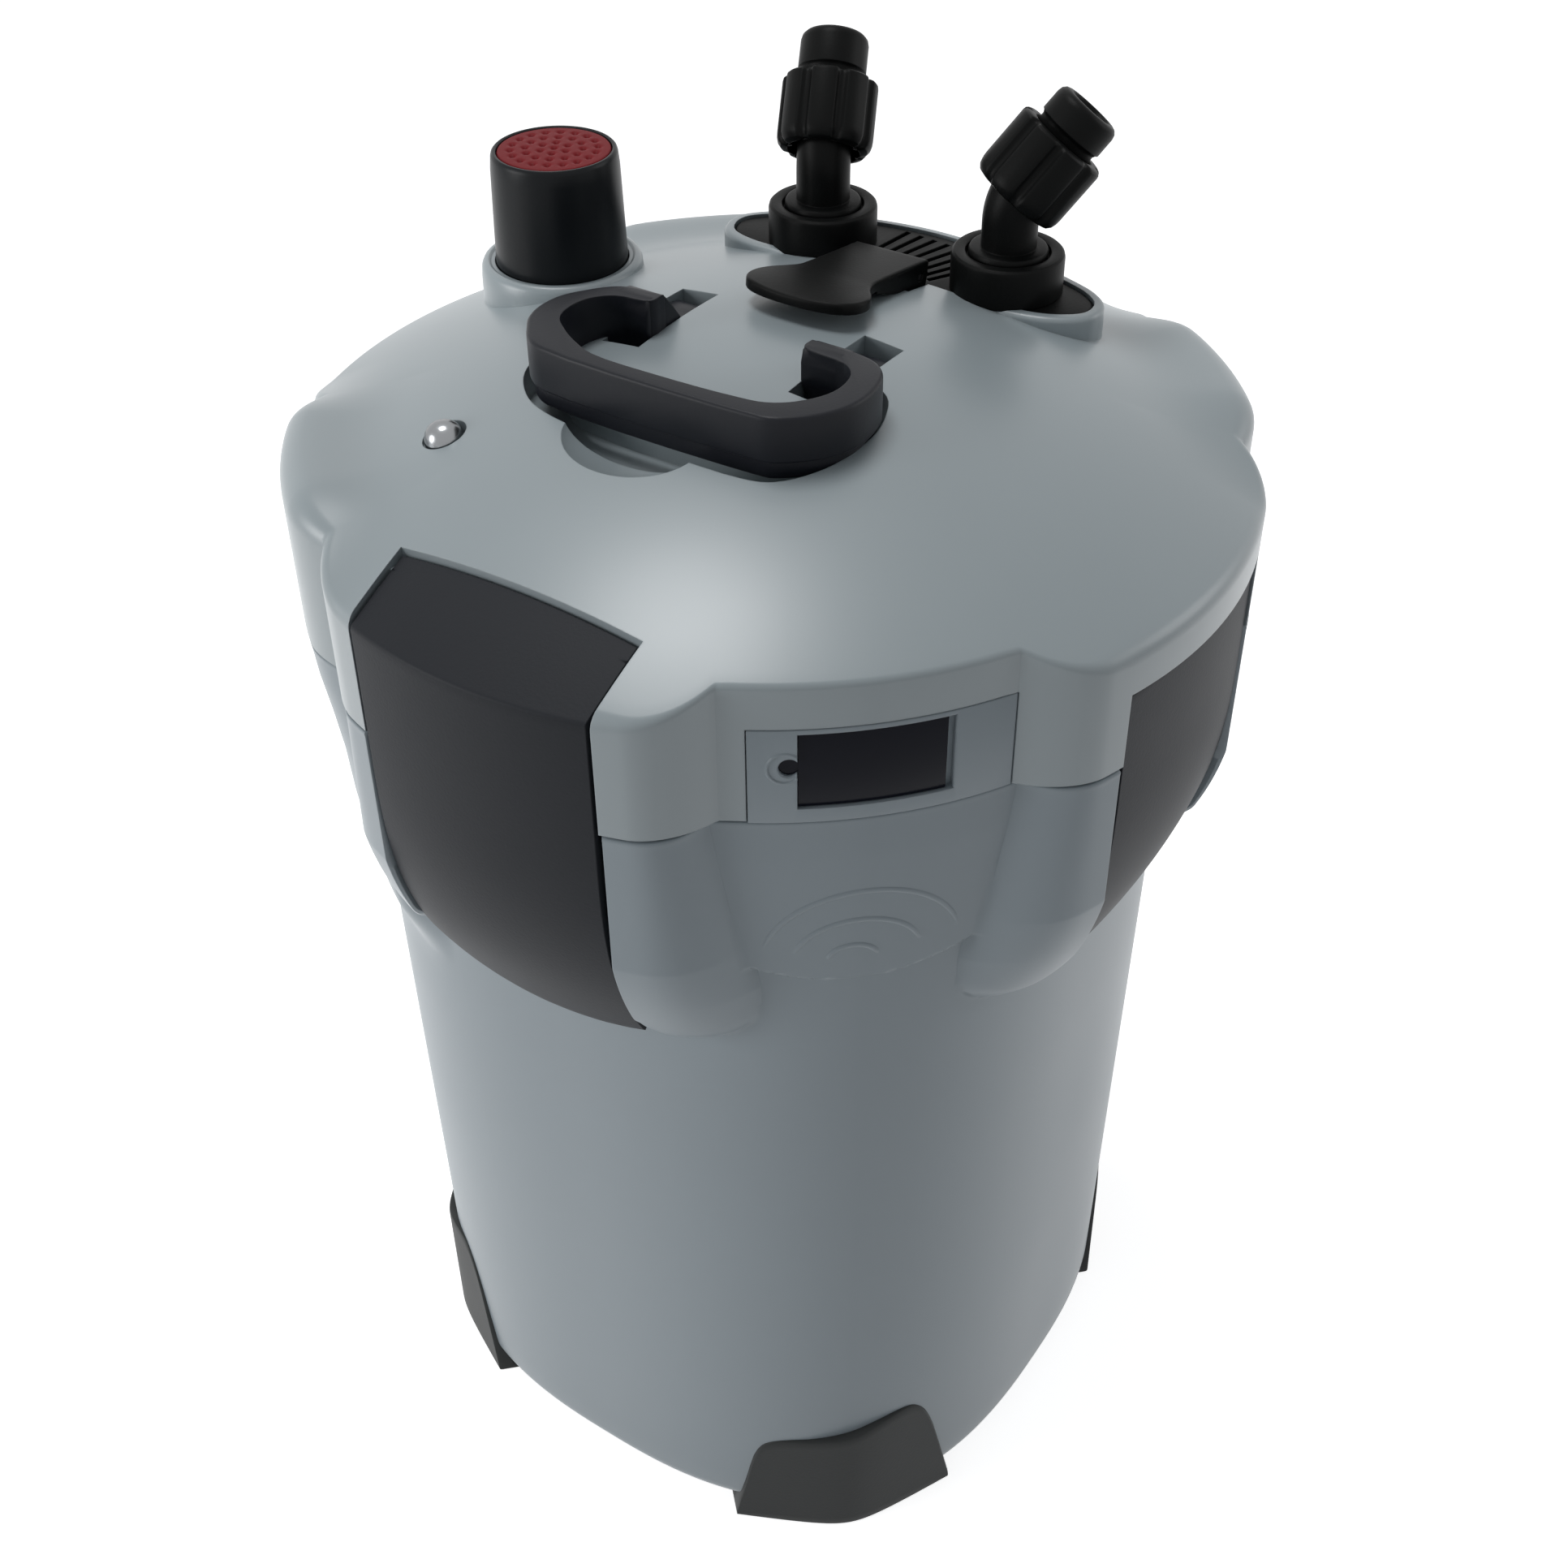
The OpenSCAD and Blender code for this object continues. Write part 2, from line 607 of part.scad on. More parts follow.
module inlet_pipe() {
    color([0.24, 0.26, 0.28]) translate([-port_x, port_y, basket_z + 8])
        ring(pipe_r, way_r, plug_z - seat - basket_z - 8);
}

// ---------- pump ----------
module at_pump() {
    translate([pump_x, pump_y, 0]) children();
}
module motor_core() {
    color([0.45, 0.46, 0.48]) at_pump() translate([0, 0, core_z]) linear_extrude(core_h) difference() {
        union() {
            circle(25);
            for (x = [-17, 17]) translate([x - 5, -57]) square([10, 45]);
            translate([-22, -67]) square([44, 10]);
        }
        circle(well_r + 2.8);
    }
}
module motor_coils() {
    color([0.62, 0.33, 0.16]) at_pump() for (x = [-17, 17]) difference() {
        block(x - 10, x + 10, -55, -27, core_z - 5, core_z + core_h + 5);
        block(x - 5.3, x + 5.3, -60, -20, core_z - 0.3, core_z + core_h + 0.3);
    }
}
module shaft_bushes() {
    color([0.86, 0.84, 0.78]) at_pump() {
        translate([0, 0, well_top - 6.5]) ring(4, 1.52, 3.4);
        translate([0, 0, plug_z - 15]) ring(3.5, 1.52, 3.3);
    }
}
module ceramic_shaft() {
    color([0.93, 0.92, 0.88]) at_pump() translate([0, 0, plug_z - 14.5])
        cylinder(r = 1.5, h = well_top - 3.4 - plug_z + 14.5);
}
module rotor_magnet() {
    color([0.20, 0.20, 0.21]) at_pump() translate([0, 0, plug_z + 7])
        ring(rotor_r, 1.5 + run + 0.01, well_top - 7 - plug_z - 7);
}
module impeller() {
    color([0.85, 0.85, 0.82]) at_pump() difference() {
        union() {
            translate([0, 0, plug_z - 11.3]) cylinder(r = 5, h = 18);
            translate([0, 0, plug_z - 2.6]) cylinder(r = impeller_r, h = 1.6);
            for (i = [0:blades - 1]) rotate(360 * i / blades)
                block(3, impeller_r, -0.8, 0.8, plug_z - 11, plug_z - 2);
        }
        translate([0, 0, plug_z - 20]) cylinder(r = 1.5 + run + 0.01, h = 40);
    }
}
module impeller_cover() {
    color([0.24, 0.26, 0.28]) at_pump() difference() {
        union() {
            translate([0, 0, plug_z - 15]) cylinder(r = volute_r, h = 15 - seat);
            block(port_x - pump_x - 9, port_x - pump_x + 9, 0, volute_r + 0.7, plug_z - 15, plug_z - seat);
        }
        translate([0, 0, plug_z - 12.5]) cylinder(r = volute_r - 2.5, h = 20);
        block(port_x - pump_x - 7, port_x - pump_x + 7, 0, volute_r + 5, plug_z - 12.5, plug_z + 1);
        difference() {
            translate([0, 0, plug_z - 16]) cylinder(r = 11, h = 8);
            translate([0, 0, plug_z - 17]) cylinder(r = 5.5, h = 10);
            for (a = [0, 120, 240]) rotate(a) block(0, 12, -1.5, 1.5, plug_z - 17, plug_z - 8);
        }
        translate([0, 0, plug_z - 16]) cylinder(r = 3.52, h = 8);
    }
}
module outlet_duct() {
    y0 = pump_y + volute_r + 1;
    color([0.24, 0.26, 0.28]) difference() {
        block(port_x - 11, port_x + 11, y0, port_y + 12, plug_z - 15, plug_z - seat);
        block(port_x - 9, port_x + 9, y0 - 1, port_y + 10, plug_z - 13, plug_z - 2.3);
        translate([port_x, port_y, plug_z - 5]) cylinder(r = way_r - 0.5, h = 8);
    }
}

// ---------- priming pump ----------
module at_primer() {
    translate([primer_x, primer_y, 0]) children();
}
module priming_knob() {
    color([0.20, 0.21, 0.22]) at_primer() difference() {
        union() {
            translate([0, 0, skirt_z]) cylinder(r = knob_r, h = plate_z - skirt_z);
            translate([0, 0, plate_z]) cylinder(r1 = knob_r, r2 = knob_top_r, h = knob_top - plate_z);
            translate([0, 0, skirt_z]) cylinder(r = knob_r + 2.4, h = 3);
        }
        translate([0, 0, skirt_z - 1]) cylinder(r = knob_top_r - 1.3, h = knob_roof - skirt_z + 1);
        translate([0, 0, knob_top - 2]) cylinder(r = knob_top_r - 1.6, h = 4);
    }
}
module priming_cap() {
    color([0.55, 0.10, 0.13]) at_primer() difference() {
        translate([0, 0, knob_top - 1.8]) cylinder(r = knob_top_r - 1.8, h = 2.2);
        for (n = [1:3], i = [0:6 * n - 1]) rotate(60 * i / n) translate([4.7 * n, 0, knob_top + 0.2])
            cylinder(r = 0.8, h = 1);
    }
}
module priming_rod() {
    color([0.80, 0.80, 0.78]) at_primer() translate([0, 0, cylinder_top - 3.8])
        cylinder(r = 3, h = knob_roof - 0.2 - cylinder_top + 3.8);
}
module priming_seal() {
    color([0.12, 0.12, 0.12]) at_primer() translate([0, 0, cylinder_top - 10])
        cylinder(r = cylinder_r - 2 - run, h = 6);
}
module priming_cylinder() {
    color([0.30, 0.32, 0.33]) at_primer() difference() {
        translate([0, 0, base_top + seat]) cylinder(r = cylinder_r, h = cylinder_top - base_top - seat);
        translate([0, 0, base_top - 1]) cylinder(r = cylinder_r - 2, h = cylinder_top - 2 - base_top + 1);
        translate([0, 0, cylinder_top - 5]) cylinder(r = 3 + run, h = 8);
    }
}
// A coil spring as one swept tube
module priming_spring() {
    turns = 5;
    steps = 14;
    sides = 6;
    wire = 0.9;
    coil_r = 9;
    z0 = cylinder_top + seat + wire;
    z1 = knob_roof - seat - wire;
    n = turns * steps;
    points = [for (i = [0:n], j = [0:sides - 1])
        let (a = 360 * i / steps, b = 360 * j / sides, r = coil_r + wire * cos(b))
        [r * cos(a), r * sin(a), z0 + (z1 - z0) * i / n + wire * sin(b)]];
    faces = concat([[for (j = [0:sides - 1]) j]],
        [for (i = [0:n - 1], j = [0:sides - 1]) let (k = (j + 1) % sides)
            [sides * i + j, sides * (i + 1) + j, sides * (i + 1) + k, sides * i + k]],
        [[for (j = [0:sides - 1]) sides * n + sides - 1 - j]]);
    color([0.75, 0.75, 0.77]) at_primer() polyhedron(points, faces);
}
module check_valve_flap() {
    color([0.12, 0.12, 0.12]) at_primer() translate([0, 0, plug_z - seat - 1.2])
        cylinder(r = 7, h = 1.2);
}

// ---------- handle ----------
module handle() {
    half = handle_half;
    color([0.22, 0.22, 0.24]) difference() {
        translate([handle_x, 0, 0]) union() {
            translate([0, 0, handle_top - handle_h]) linear_extrude(handle_h) difference() {
                round_rect(half, handle_front, handle_back, 17);
                round_rect(half - 8, handle_front + 4.6, handle_back - 8, 11);
                translate([leg_w / 2 - leg_gap / 2, handle_back - 20]) square([leg_gap - leg_w, 30]);
            }
            for (s = [-1, 1]) translate([s * leg_gap / 2 - leg_w / 2, 0, 0]) rotate([90, 0, 90])
                linear_extrude(leg_w) {
                    polygon([[handle_back - 2, handle_top], [handle_back, handle_top],
                        [handle_pivot_y - 11, handle_pivot_z + 8], [handle_pivot_y - 10, handle_pivot_z + 5],
                        [handle_pivot_y, handle_pivot_z + 5], [handle_pivot_y, handle_pivot_z - 5],
                        [handle_pivot_y - 10, handle_pivot_z - 1.5], [handle_back + 1.5, handle_pivot_z + 4.3],
                        [handle_back - 2, handle_top - handle_h]]);
                    translate([handle_pivot_y, handle_pivot_z]) circle(5);
                }
        }
        translate([0, handle_pivot_y, handle_pivot_z]) rod_x(handle_pin_r + run, -60, 60);
    }
}
module handle_pins() {
    color([0.70, 0.70, 0.72]) translate([handle_x, handle_pivot_y, handle_pivot_z]) for (s = [-1, 1])
        rod_x(handle_pin_r, s * leg_gap / 2 - leg_w / 2 - 1.5, s * leg_gap / 2 + leg_w / 2 + 1.5);
}

// ---------- valve block ----------
module valve_block() {
    color([0.08, 0.08, 0.08]) difference() {
        union() {
            translate([0, 0, plate_z - plate_t]) linear_extrude(plate_t) plate_plan();
            translate([0, 0, plate_z - plate_t]) linear_extrude(plate_t) tongue_plan();
            for (s = [-1, 1]) translate([s * port_x, port_y, riser_top + seat])
                cylinder(r = tube_r, h = plate_z - riser_top - seat);
            for (s = [-1, 1]) translate([0, lever_y, lever_z]) rod_x(3.4, s * 4.4 - 1.2, s * 4.4 + 1.2);
            for (s = [-1, 1]) block(s * 4.4 - 1.2, s * 4.4 + 1.2, lever_y - 3.4, lever_y + 3.4,
                plate_z - 1, lever_z);
        }
        for (s = [-1, 1]) translate([s * port_x, port_y, 0]) {
            translate([0, 0, riser_top]) cylinder(r = 8, h = 60);
            translate([0, 0, stem_z - 0.5]) cylinder(r = elbow_r + run, h = 60);
            translate([0, 0, stem_z + 5]) ring(elbow_r + 1.6, elbow_r - 1, 3);
            translate([0, 0, ball_z]) sphere(ball_r + 0.3);
        }
        // way of the valve link and its cranks
        block(-3, 3, lever_y - 7.4, lever_y + 10, plate_z - plate_t - 1, lever_z + 10);
        translate([0, port_y, ball_z]) rod_x(3 + run, -port_x, port_x);
        translate([0, lever_y, lever_z]) rod_x(1.52, -8, 8);
        // grooves that fan out behind the lever
        for (i = [0:6]) translate([-15 + 5 * i, 84, 0]) rotate(-8 + 3 * i)
            block(-0.9, 0.9, -8, 9.5 - abs(i - 3) * 0.4, plate_z - 1.2, plate_z + 1);
    }
}
module lever_pin() {
    color([0.70, 0.70, 0.72]) translate([0, lever_y, lever_z]) rod_x(1.5, -11.6, 11.6);
}
// Crank pin places: angle is measured from straight down towards +Y
crank_a = 40;
lever_crank = [0, lever_y + crank_r * sin(crank_a), lever_z - crank_r * cos(crank_a)];
shaft_crank = [0, port_y + crank_r * sin(crank_a), ball_z - crank_r * cos(crank_a)];
module valve_lever() {
    h = lever_half;
    w = 12.4;
    l = lever_len;
    top = 4.4;
    color([0.07, 0.07, 0.07]) difference() {
        union() {
            translate([0, lever_y, lever_z]) rotate([-8, 0, 0]) translate([0, 0, top - 3.4])
                linear_extrude(3.4) polygon([[-w, 3.4], [w, 3.4], [w, -22], [w + 0.6, -l + 23],
                    [w + 2, -l + 20.5], [h - 1.3, -l + 16], [h, -l + 11], [h - 2, -l + 5],
                    [h - 8, -l + 1.5], [5, -l], [-5, -l], [8 - h, -l + 1.5], [2 - h, -l + 5],
                    [-h, -l + 11], [1.3 - h, -l + 16], [-w - 2, -l + 20.5], [-w - 0.6, -l + 23], [-w, -22]]);
            for (s = [-1, 1]) translate([0, lever_y, lever_z]) {
                rod_x(4.2, s * 9.1 - 3.1, s * 9.1 + 3.1);
                block(s * 9.1 - 3.1, s * 9.1 + 3.1, -4.2, 3.4, 0, 3);
            }
            // web and crank pin
            translate([-2.6, 0, 0]) {
                translate([0, lever_y, lever_z]) rod_x(3.6, 0, 2.2);
                translate([0, lever_y, lever_z]) block(0, 2.2, -3.4, 3.2, 0, 3);
                translate(lever_crank) rod_x(2.4, 0, 2.2);
                translate([0, lever_y, lever_z]) rotate([crank_a - 90, 0, 0])
                    block(0, 2.2, 0, crank_r, -2.2, 2.2);
            }
            translate(lever_crank) rod_x(1.3, -2.6, 2.6);
        }
        translate([0, lever_y, lever_z]) rod_x(1.5 + run, -20, 20);
        // slots for the lugs that carry the lever
        for (s = [-1, 1]) translate([0, lever_y, lever_z])
            block(s * 4.4 - 1.6, s * 4.4 + 1.6, -4.4, 6, -1, 8);
    }
}
module valve_link() {
    d = shaft_crank - lever_crank;
    len = norm(d);
    color([0.70, 0.70, 0.72]) difference() {
        union() {
            for (p = [lever_crank, shaft_crank]) translate(p) rod_x(2.8, -0.1, 2.3);
            translate(lever_crank) rotate([atan2(d[2], d[1]), 0, 0]) block(-0.1, 2.3, 0, len, -1.5, 1.5);
        }
        for (p = [lever_crank, shaft_crank]) translate(p) rod_x(1.3 + run, -2, 4);
    }
}
module valve_shaft() {
    end = port_x - ball_r + 2.4;
    color([0.70, 0.70, 0.72]) {
        for (s = [-1, 1]) {
            translate([0, port_y, ball_z]) rod_x(3, min(s * 2.9, s * end), max(s * 2.9, s * end));
            translate([0, port_y, ball_z]) rotate([crank_a - 90, 0, 0])
                block(min(s * 2.9, s * 4.9), max(s * 2.9, s * 4.9), 0, crank_r, -2.2, 2.2);
            translate(shaft_crank) rod_x(2.6, min(s * 2.9, s * 4.9), max(s * 2.9, s * 4.9));
        }
        translate(shaft_crank) rod_x(1.3, -3, 3);
    }
}
module valve_ball(s) {
    color([0.85, 0.85, 0.82]) translate([s * port_x, port_y, ball_z]) difference() {
        sphere(ball_r);
        translate([0, 0, -20]) cylinder(r = 7, h = 40);
        rod_x(3.03, min(0, -s * 15), max(0, -s * 15));
    }
}
module collar(s) {
    color([0.07, 0.07, 0.07]) translate([s * port_x, port_y, 0]) difference() {
        translate([0, 0, plate_z + 0.2]) cylinder(r = collar_r, h = collar_top - plate_z - 0.2);
        translate([0, 0, plate_z - 1]) cylinder(r = elbow_r + run, h = 30);
        translate([0, 0, collar_top - 2.5]) cylinder(r = 12.2, h = 5);
        translate([0, 0, collar_top]) rotate_extrude() translate([collar_r - 1, -1]) difference() {
            square(3);
            circle(1);
        }
    }
}
module port_orings() {
    color([0.12, 0.12, 0.12]) for (s = [-1, 1]) translate([s * port_x, port_y, stem_z + 5.1])
        ring(elbow_r + 1.5, elbow_r + 0.1, 2.8);
}

// ---------- hose connectors ----------
// Moves along the tilted axis of a connector's upper arm
module on_arm(s, dir) {
    translate([s * port_x, port_y, bend_z]) rotate([0, 0, dir]) rotate([0, bend_angle, 0]) children();
}
module elbow(s, dir) {
    color([0.07, 0.07, 0.07]) difference() {
        union() {
            translate([s * port_x, port_y, stem_z]) cylinder(r = elbow_r, h = bend_z - stem_z);
            translate([s * port_x, port_y, bend_z]) sphere(elbow_r + 0.4);
            translate([s * port_x, port_y, collar_top - 2.2]) cylinder(r = 11.7, h = 3.4);
            on_arm(s, dir) cylinder(r = elbow_r, h = 12);
        }
        translate([s * port_x, port_y, stem_z - 1]) cylinder(r = bore_r, h = bend_z - stem_z + 1);
        translate([s * port_x, port_y, bend_z]) sphere(bore_r + 0.3);
        on_arm(s, dir) cylinder(r = bore_r, h = 20);
    }
}
module union_nut(s, dir) {
    flutes = 8;
    color([0.07, 0.07, 0.07]) on_arm(s, dir) difference() {
        union() {
            translate([0, 0, 0.4]) cylinder(r = nut_r - 1.2, h = nut_len);
            for (i = [0:flutes - 1]) rotate(360 * i / flutes)
                block(0, nut_r, -2.6, 2.6, 1.4, nut_len - 1.2);
        }
        translate([0, 0, -1]) cylinder(r = tail_r + 1.2, h = nut_len - 1.6);
        translate([0, 0, -1]) cylinder(r = tail_r + 0.4 + run, h = nut_len + 5);
    }
}
module hose_tail(s, dir) {
    z1 = nut_len + 0.6;
    color([0.07, 0.07, 0.07]) on_arm(s, dir) difference() {
        union() {
            translate([0, 0, 12.3]) cylinder(r = tail_r + 1, h = nut_len - 15.2);
            translate([0, 0, 12.3]) cylinder(r = tail_r + 0.4, h = z1 - 12.3);
            translate([0, 0, z1]) cylinder(r = tail_r, h = tail_len - 6);
            translate([0, 0, z1 + tail_len - 6]) cylinder(r1 = tail_r, r2 = tail_r - 1.5, h = 6);
        }
        translate([0, 0, 11]) cylinder(r = bore_r, h = 60);
    }
}

// ---------- latches ----------
// A latch on the +X side; the front one has a flap over the head
module latch(k, front = false) {
    arc_r = front ? lobe_r : side_arc_r;
    bulge = front ? lobe_r : lobe_r - side_inset;
    cx = bulge - arc_r;
    top = front ? dome_z : side_top;
    inner_x = latch_back_x;
    color([0.25, 0.26, 0.27]) rotate(90 * k) difference() {
        union() {
            difference() {
                intersection() {
                    latch_turn(cx, bulge, top, 0, front ? flap_x : pivot_x);
                    block(100, 160, -latch_w / 2, latch_w / 2, latch_z, 400);
                    if (front) dome();
                    latch_bottom_arc();
                }
                intersection() {
                    latch_turn(cx, bulge, top + 1, latch_t, inner_x - 1);
                    block(inner_x - 1, 160, -latch_in, latch_in, latch_pivot_z + 6,
                        front ? flap_z : top - latch_t);
                    if (front) dome(latch_t + 0.4);
                }
                // behind the back edge
                block(90, inner_x, -60, 60, latch_pivot_z, front ? flap_z : 400);
                if (front) block(90, flap_x, -60, 60, latch_pivot_z, 400);
                block(90, pivot_x, -60, 60, 200, latch_pivot_z + eps);
                // sloping underside
                translate([0, 60, 0]) rotate([90, 0, 0]) linear_extrude(120)
                    polygon([[pivot_x - 10, latch_z - 10], [pivot_x + 5, latch_z - 1],
                        [pivot_x + 1.5, latch_pivot_z - 2.2], [pivot_x - 1, latch_pivot_z],
                        [pivot_x - 10, latch_pivot_z]]);
            }
            translate([pivot_x, 0, latch_pivot_z]) rotate([90, 0, 0])
                cylinder(r = knuckle_r, h = 2 * knuckle_half, center = true);
            if (!front) block(recess_x + 3, bulge - latch_t + 0.5 - 3, -28, 28, catch_z, catch_z + 3);
            if (!front) intersection() {
                block(recess_x + 5, 160, -28, 28, catch_z, catch_z + 3);
                latch_turn(cx, bulge, top, latch_t / 2, inner_x - 1);
            }
        }
        translate([pivot_x, 0, latch_pivot_z]) rotate([90, 0, 0]) {
            cylinder(r = latch_pin_r + run, h = 60, center = true);
            for (s = [-1, 1]) translate([0, 0, s * (lug_x + lug_w / 2) - lug_w / 2 - 0.4])
                cylinder(r = knuckle_r + 0.35, h = lug_w + 0.8);
        }
        for (s = [-1, 1]) translate([0, s * (lug_x + lug_w / 2), 0])
            block(90, pivot_x + knuckle_r * 0.9, -lug_w / 2 - 0.4, lug_w / 2 + 0.4, 200, latch_pivot_z);
    }
}
module latch_turn(cx, bulge, top, inset, back_x) {
    n = 14;
    translate([cx, 0, 0]) sector(-20, 20) polygon(concat(
        [[back_x - cx, latch_z - 1], [back_x - cx, top]],
        [for (i = [0:n]) let (z = top + (latch_z - 1 - top) * i / n)
            [bulge - cx - lobe_r + lobe_at(z) - inset, z]]));
}
// The lower edge of a latch is an arc, lowest in the middle
module latch_bottom_arc() {
    r = 182.5;
    translate([90, 0, latch_z + r]) rotate([0, 90, 0]) cylinder(r = r, h = 80, $fn = 200);
}
module latch_pins() {
    color([0.70, 0.70, 0.72]) at_latches() translate([pivot_x, 0, latch_pivot_z]) rotate([90, 0, 0])
        cylinder(r = latch_pin_r, h = 2 * (lug_x + lug_w - 1), center = true);
}

barrel();
foot(0);  // foot_front_right
foot(1);  // foot_back_right
foot(2);  // foot_back_left
foot(3);  // foot_front_left
sealing_ring();
basket(0);  // basket_lower
basket(1);  // basket_middle
basket(2);  // basket_upper
coarse_sponge();
ceramic_media();
fine_sponge();
filter_floss();
inlet_pipe();
head_cover();
head_base();
motor_core();
motor_coils();
shaft_bushes();
ceramic_shaft();
rotor_magnet();
impeller();
impeller_cover();
outlet_duct();
badge_panel();
front_window();
cover_screw();
cable_gland();
handle();
handle_pins();
priming_cylinder();
priming_knob();
priming_cap();
priming_rod();
priming_seal();
priming_spring();
check_valve_flap();
valve_block();
lever_pin();
valve_lever();
valve_link();
valve_shaft();
valve_ball(-1);  // valve_ball_left
valve_ball(1);  // valve_ball_right
collar(-1);  // collar_left
collar(1);  // collar_right
elbow(-1, left_dir);  // elbow_left
elbow(1, right_dir);  // elbow_right
union_nut(-1, left_dir);  // union_nut_left
union_nut(1, right_dir);  // union_nut_right
hose_tail(-1, left_dir);  // hose_tail_left
hose_tail(1, right_dir);  // hose_tail_right
port_orings();
latch(3, true);  // latch_front
latch(0);  // latch_right
latch(1);  // latch_back
latch(2);  // latch_left
latch_pins();
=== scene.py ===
"""Canister filter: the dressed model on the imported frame. Lengths are millimetres until a mesh is made."""
import json
from math import asin, atan2, cos, degrees, exp, hypot, pi, radians, sin, sqrt, tan
import bmesh
import bpy
import numpy as np
from mathutils import Matrix, Vector


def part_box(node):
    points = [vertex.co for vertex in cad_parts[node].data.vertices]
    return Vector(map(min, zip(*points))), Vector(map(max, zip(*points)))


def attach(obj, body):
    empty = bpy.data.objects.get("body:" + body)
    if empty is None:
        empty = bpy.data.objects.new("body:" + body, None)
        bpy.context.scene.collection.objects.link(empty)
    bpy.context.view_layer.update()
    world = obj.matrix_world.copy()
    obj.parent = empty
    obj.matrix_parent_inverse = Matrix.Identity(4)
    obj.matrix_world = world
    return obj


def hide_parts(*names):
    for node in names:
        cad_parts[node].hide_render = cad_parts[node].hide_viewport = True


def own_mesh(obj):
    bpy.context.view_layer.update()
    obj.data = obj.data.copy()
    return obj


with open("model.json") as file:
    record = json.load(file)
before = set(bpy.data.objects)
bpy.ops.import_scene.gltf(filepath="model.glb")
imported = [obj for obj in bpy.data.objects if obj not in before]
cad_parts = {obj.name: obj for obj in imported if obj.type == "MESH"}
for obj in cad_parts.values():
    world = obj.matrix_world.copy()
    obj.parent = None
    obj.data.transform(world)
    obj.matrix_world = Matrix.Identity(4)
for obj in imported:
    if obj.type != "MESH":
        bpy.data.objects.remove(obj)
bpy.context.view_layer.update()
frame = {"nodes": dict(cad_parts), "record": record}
NODES = frame["nodes"]
MM = 0.001
# Points closer together than this are welded, in metres
WELD = 1e-6

# Head and barrel
SEAM = 321.0
HEAD_Z = 321.3
DOME_R = 300.0
DOME_C = 91.3
LOBE_R = 139.4
CREASE_R = 128.0
CORNER_R = 137.5
SHALLOW_R = 132.5
SHOULDER_Z = 370.3
SLOT = 38.6
RECESS = 117.0
MOUTH_R = 106.0
WALL = 3.5
BARREL_FLOOR = 9.0
# Angles from the middle of a latch, in degrees
SHOULDER_FROM = 17.0
LOBE_FLAT = 19.0
CREASE = 27.9
# Latches: the pivot as (x, z) on the +X side, the ears that hold its pin, and the clamp's own sizes
PIVOT = (117.99, 243.0)
PIN_EAR = (14.1, 18.9)
KNUCKLE = 13.6
KNUCKLE_R = 2.3
SIDE_TOP = 344.0
SIDE_ARC = 242.0
SIDE_BULGE = 136.3
FLAP_X = 112.6
FLAP_Z = 363.4
LATCH_HALF = 37.5
LATCH_T = 2.8
LATCH_LOW = 236.0
LOW_ARC = 182.5
CHEEK_X = 117.4
# Panel and window in the front corner: angles from +X in degrees, the notch as (angle, z)
PANEL = (-58.8, -28.0)
WINDOW = (-53.3, -35.4)
NOTCH = (-54.2, 338.5)
PANEL_BACK = 125.3
PANEL_TOP = 350.0
# Handle and valve block
LEGS = (-34.0, 28.0)
LEG_HALF = 5.9
HANDLE_TOP = 400.0
HANDLE_LOW = 387.0
PLATE_Z = 383.0
HINGE = (60.0, 387.6)
# Places in plan of the knob, the screw and the ports, and the ports' bore
KNOB = (-89.3, 19.0)
SCREW = (-56.0, -74.0)
PORTS = {"left": (-32.2, 76.0), "right": (32.2, 76.0)}
PORT_R = 8.3
# Hose connectors: the arm's direction in plan and its tilt in degrees, the bend's height, the tail's length
ARM = {"left": 114.0, "right": 42.0}
BEND = 40.0
BEND_Z = 410.0
TAIL_END = {"left": 35.7, "right": 33.0}


# ---------- mesh helpers ----------
def add_object(name, data):
    obj = bpy.data.objects.new(name, data)
    bpy.context.scene.collection.objects.link(obj)
    return obj


def new_object(name, verts, faces, sharp=32):
    """A mesh object from millimetre vertices, smooth except at edges sharper than an angle."""
    mesh = bpy.data.meshes.new(name)
    mesh.from_pydata((np.array(verts, float) * MM).tolist(), [], faces)
    mesh.validate()
    obj = add_object(name, mesh)
    clean(obj)
    smooth(obj, sharp)
    return obj


def smooth(obj, sharp):
    """Smooth shading, except at edges sharper than an angle in degrees."""
    obj.data.shade_smooth()
    obj.data.set_sharp_from_angle(angle=radians(sharp))


def radial(angle, r, z):
    """A point at an angle in degrees round the Z axis."""
    return (r * cos(radians(angle)), r * sin(radians(angle)), z)


def around(count):
    """Evenly spaced angles of a full turn, in radians."""
    return np.linspace(0, 2 * pi, count, False)


def circle(r, z, count):
    """A level circle of points round the Z axis."""
    return [(r * cos(t), r * sin(t), z) for t in around(count)]


def loft(rings, caps=True):
    """Vertices and faces of a skin over closed rings of equally many points."""
    n = len(rings[0])
    verts = [tuple(p) for ring in rings for p in ring]
    faces = []
    for i in range(len(rings) - 1):
        for j in range(n):
            k = (j + 1) % n
            faces.append((i * n + j, i * n + k, (i + 1) * n + k, (i + 1) * n + j))
    if caps:
        faces.append(tuple(reversed(range(n))))
        faces.append(tuple(range((len(rings) - 1) * n, len(rings) * n)))
    return verts, faces


def turned(name, profile, count, closed=False):
    """A profile of (radius, height) turned round Z; it runs up the outside, and closed joins its ends."""
    rings = [circle(r, z, count) for r, z in profile]
    if closed:
        rings.append(rings[0])
    return new_object(name, *loft(rings, caps=not closed))


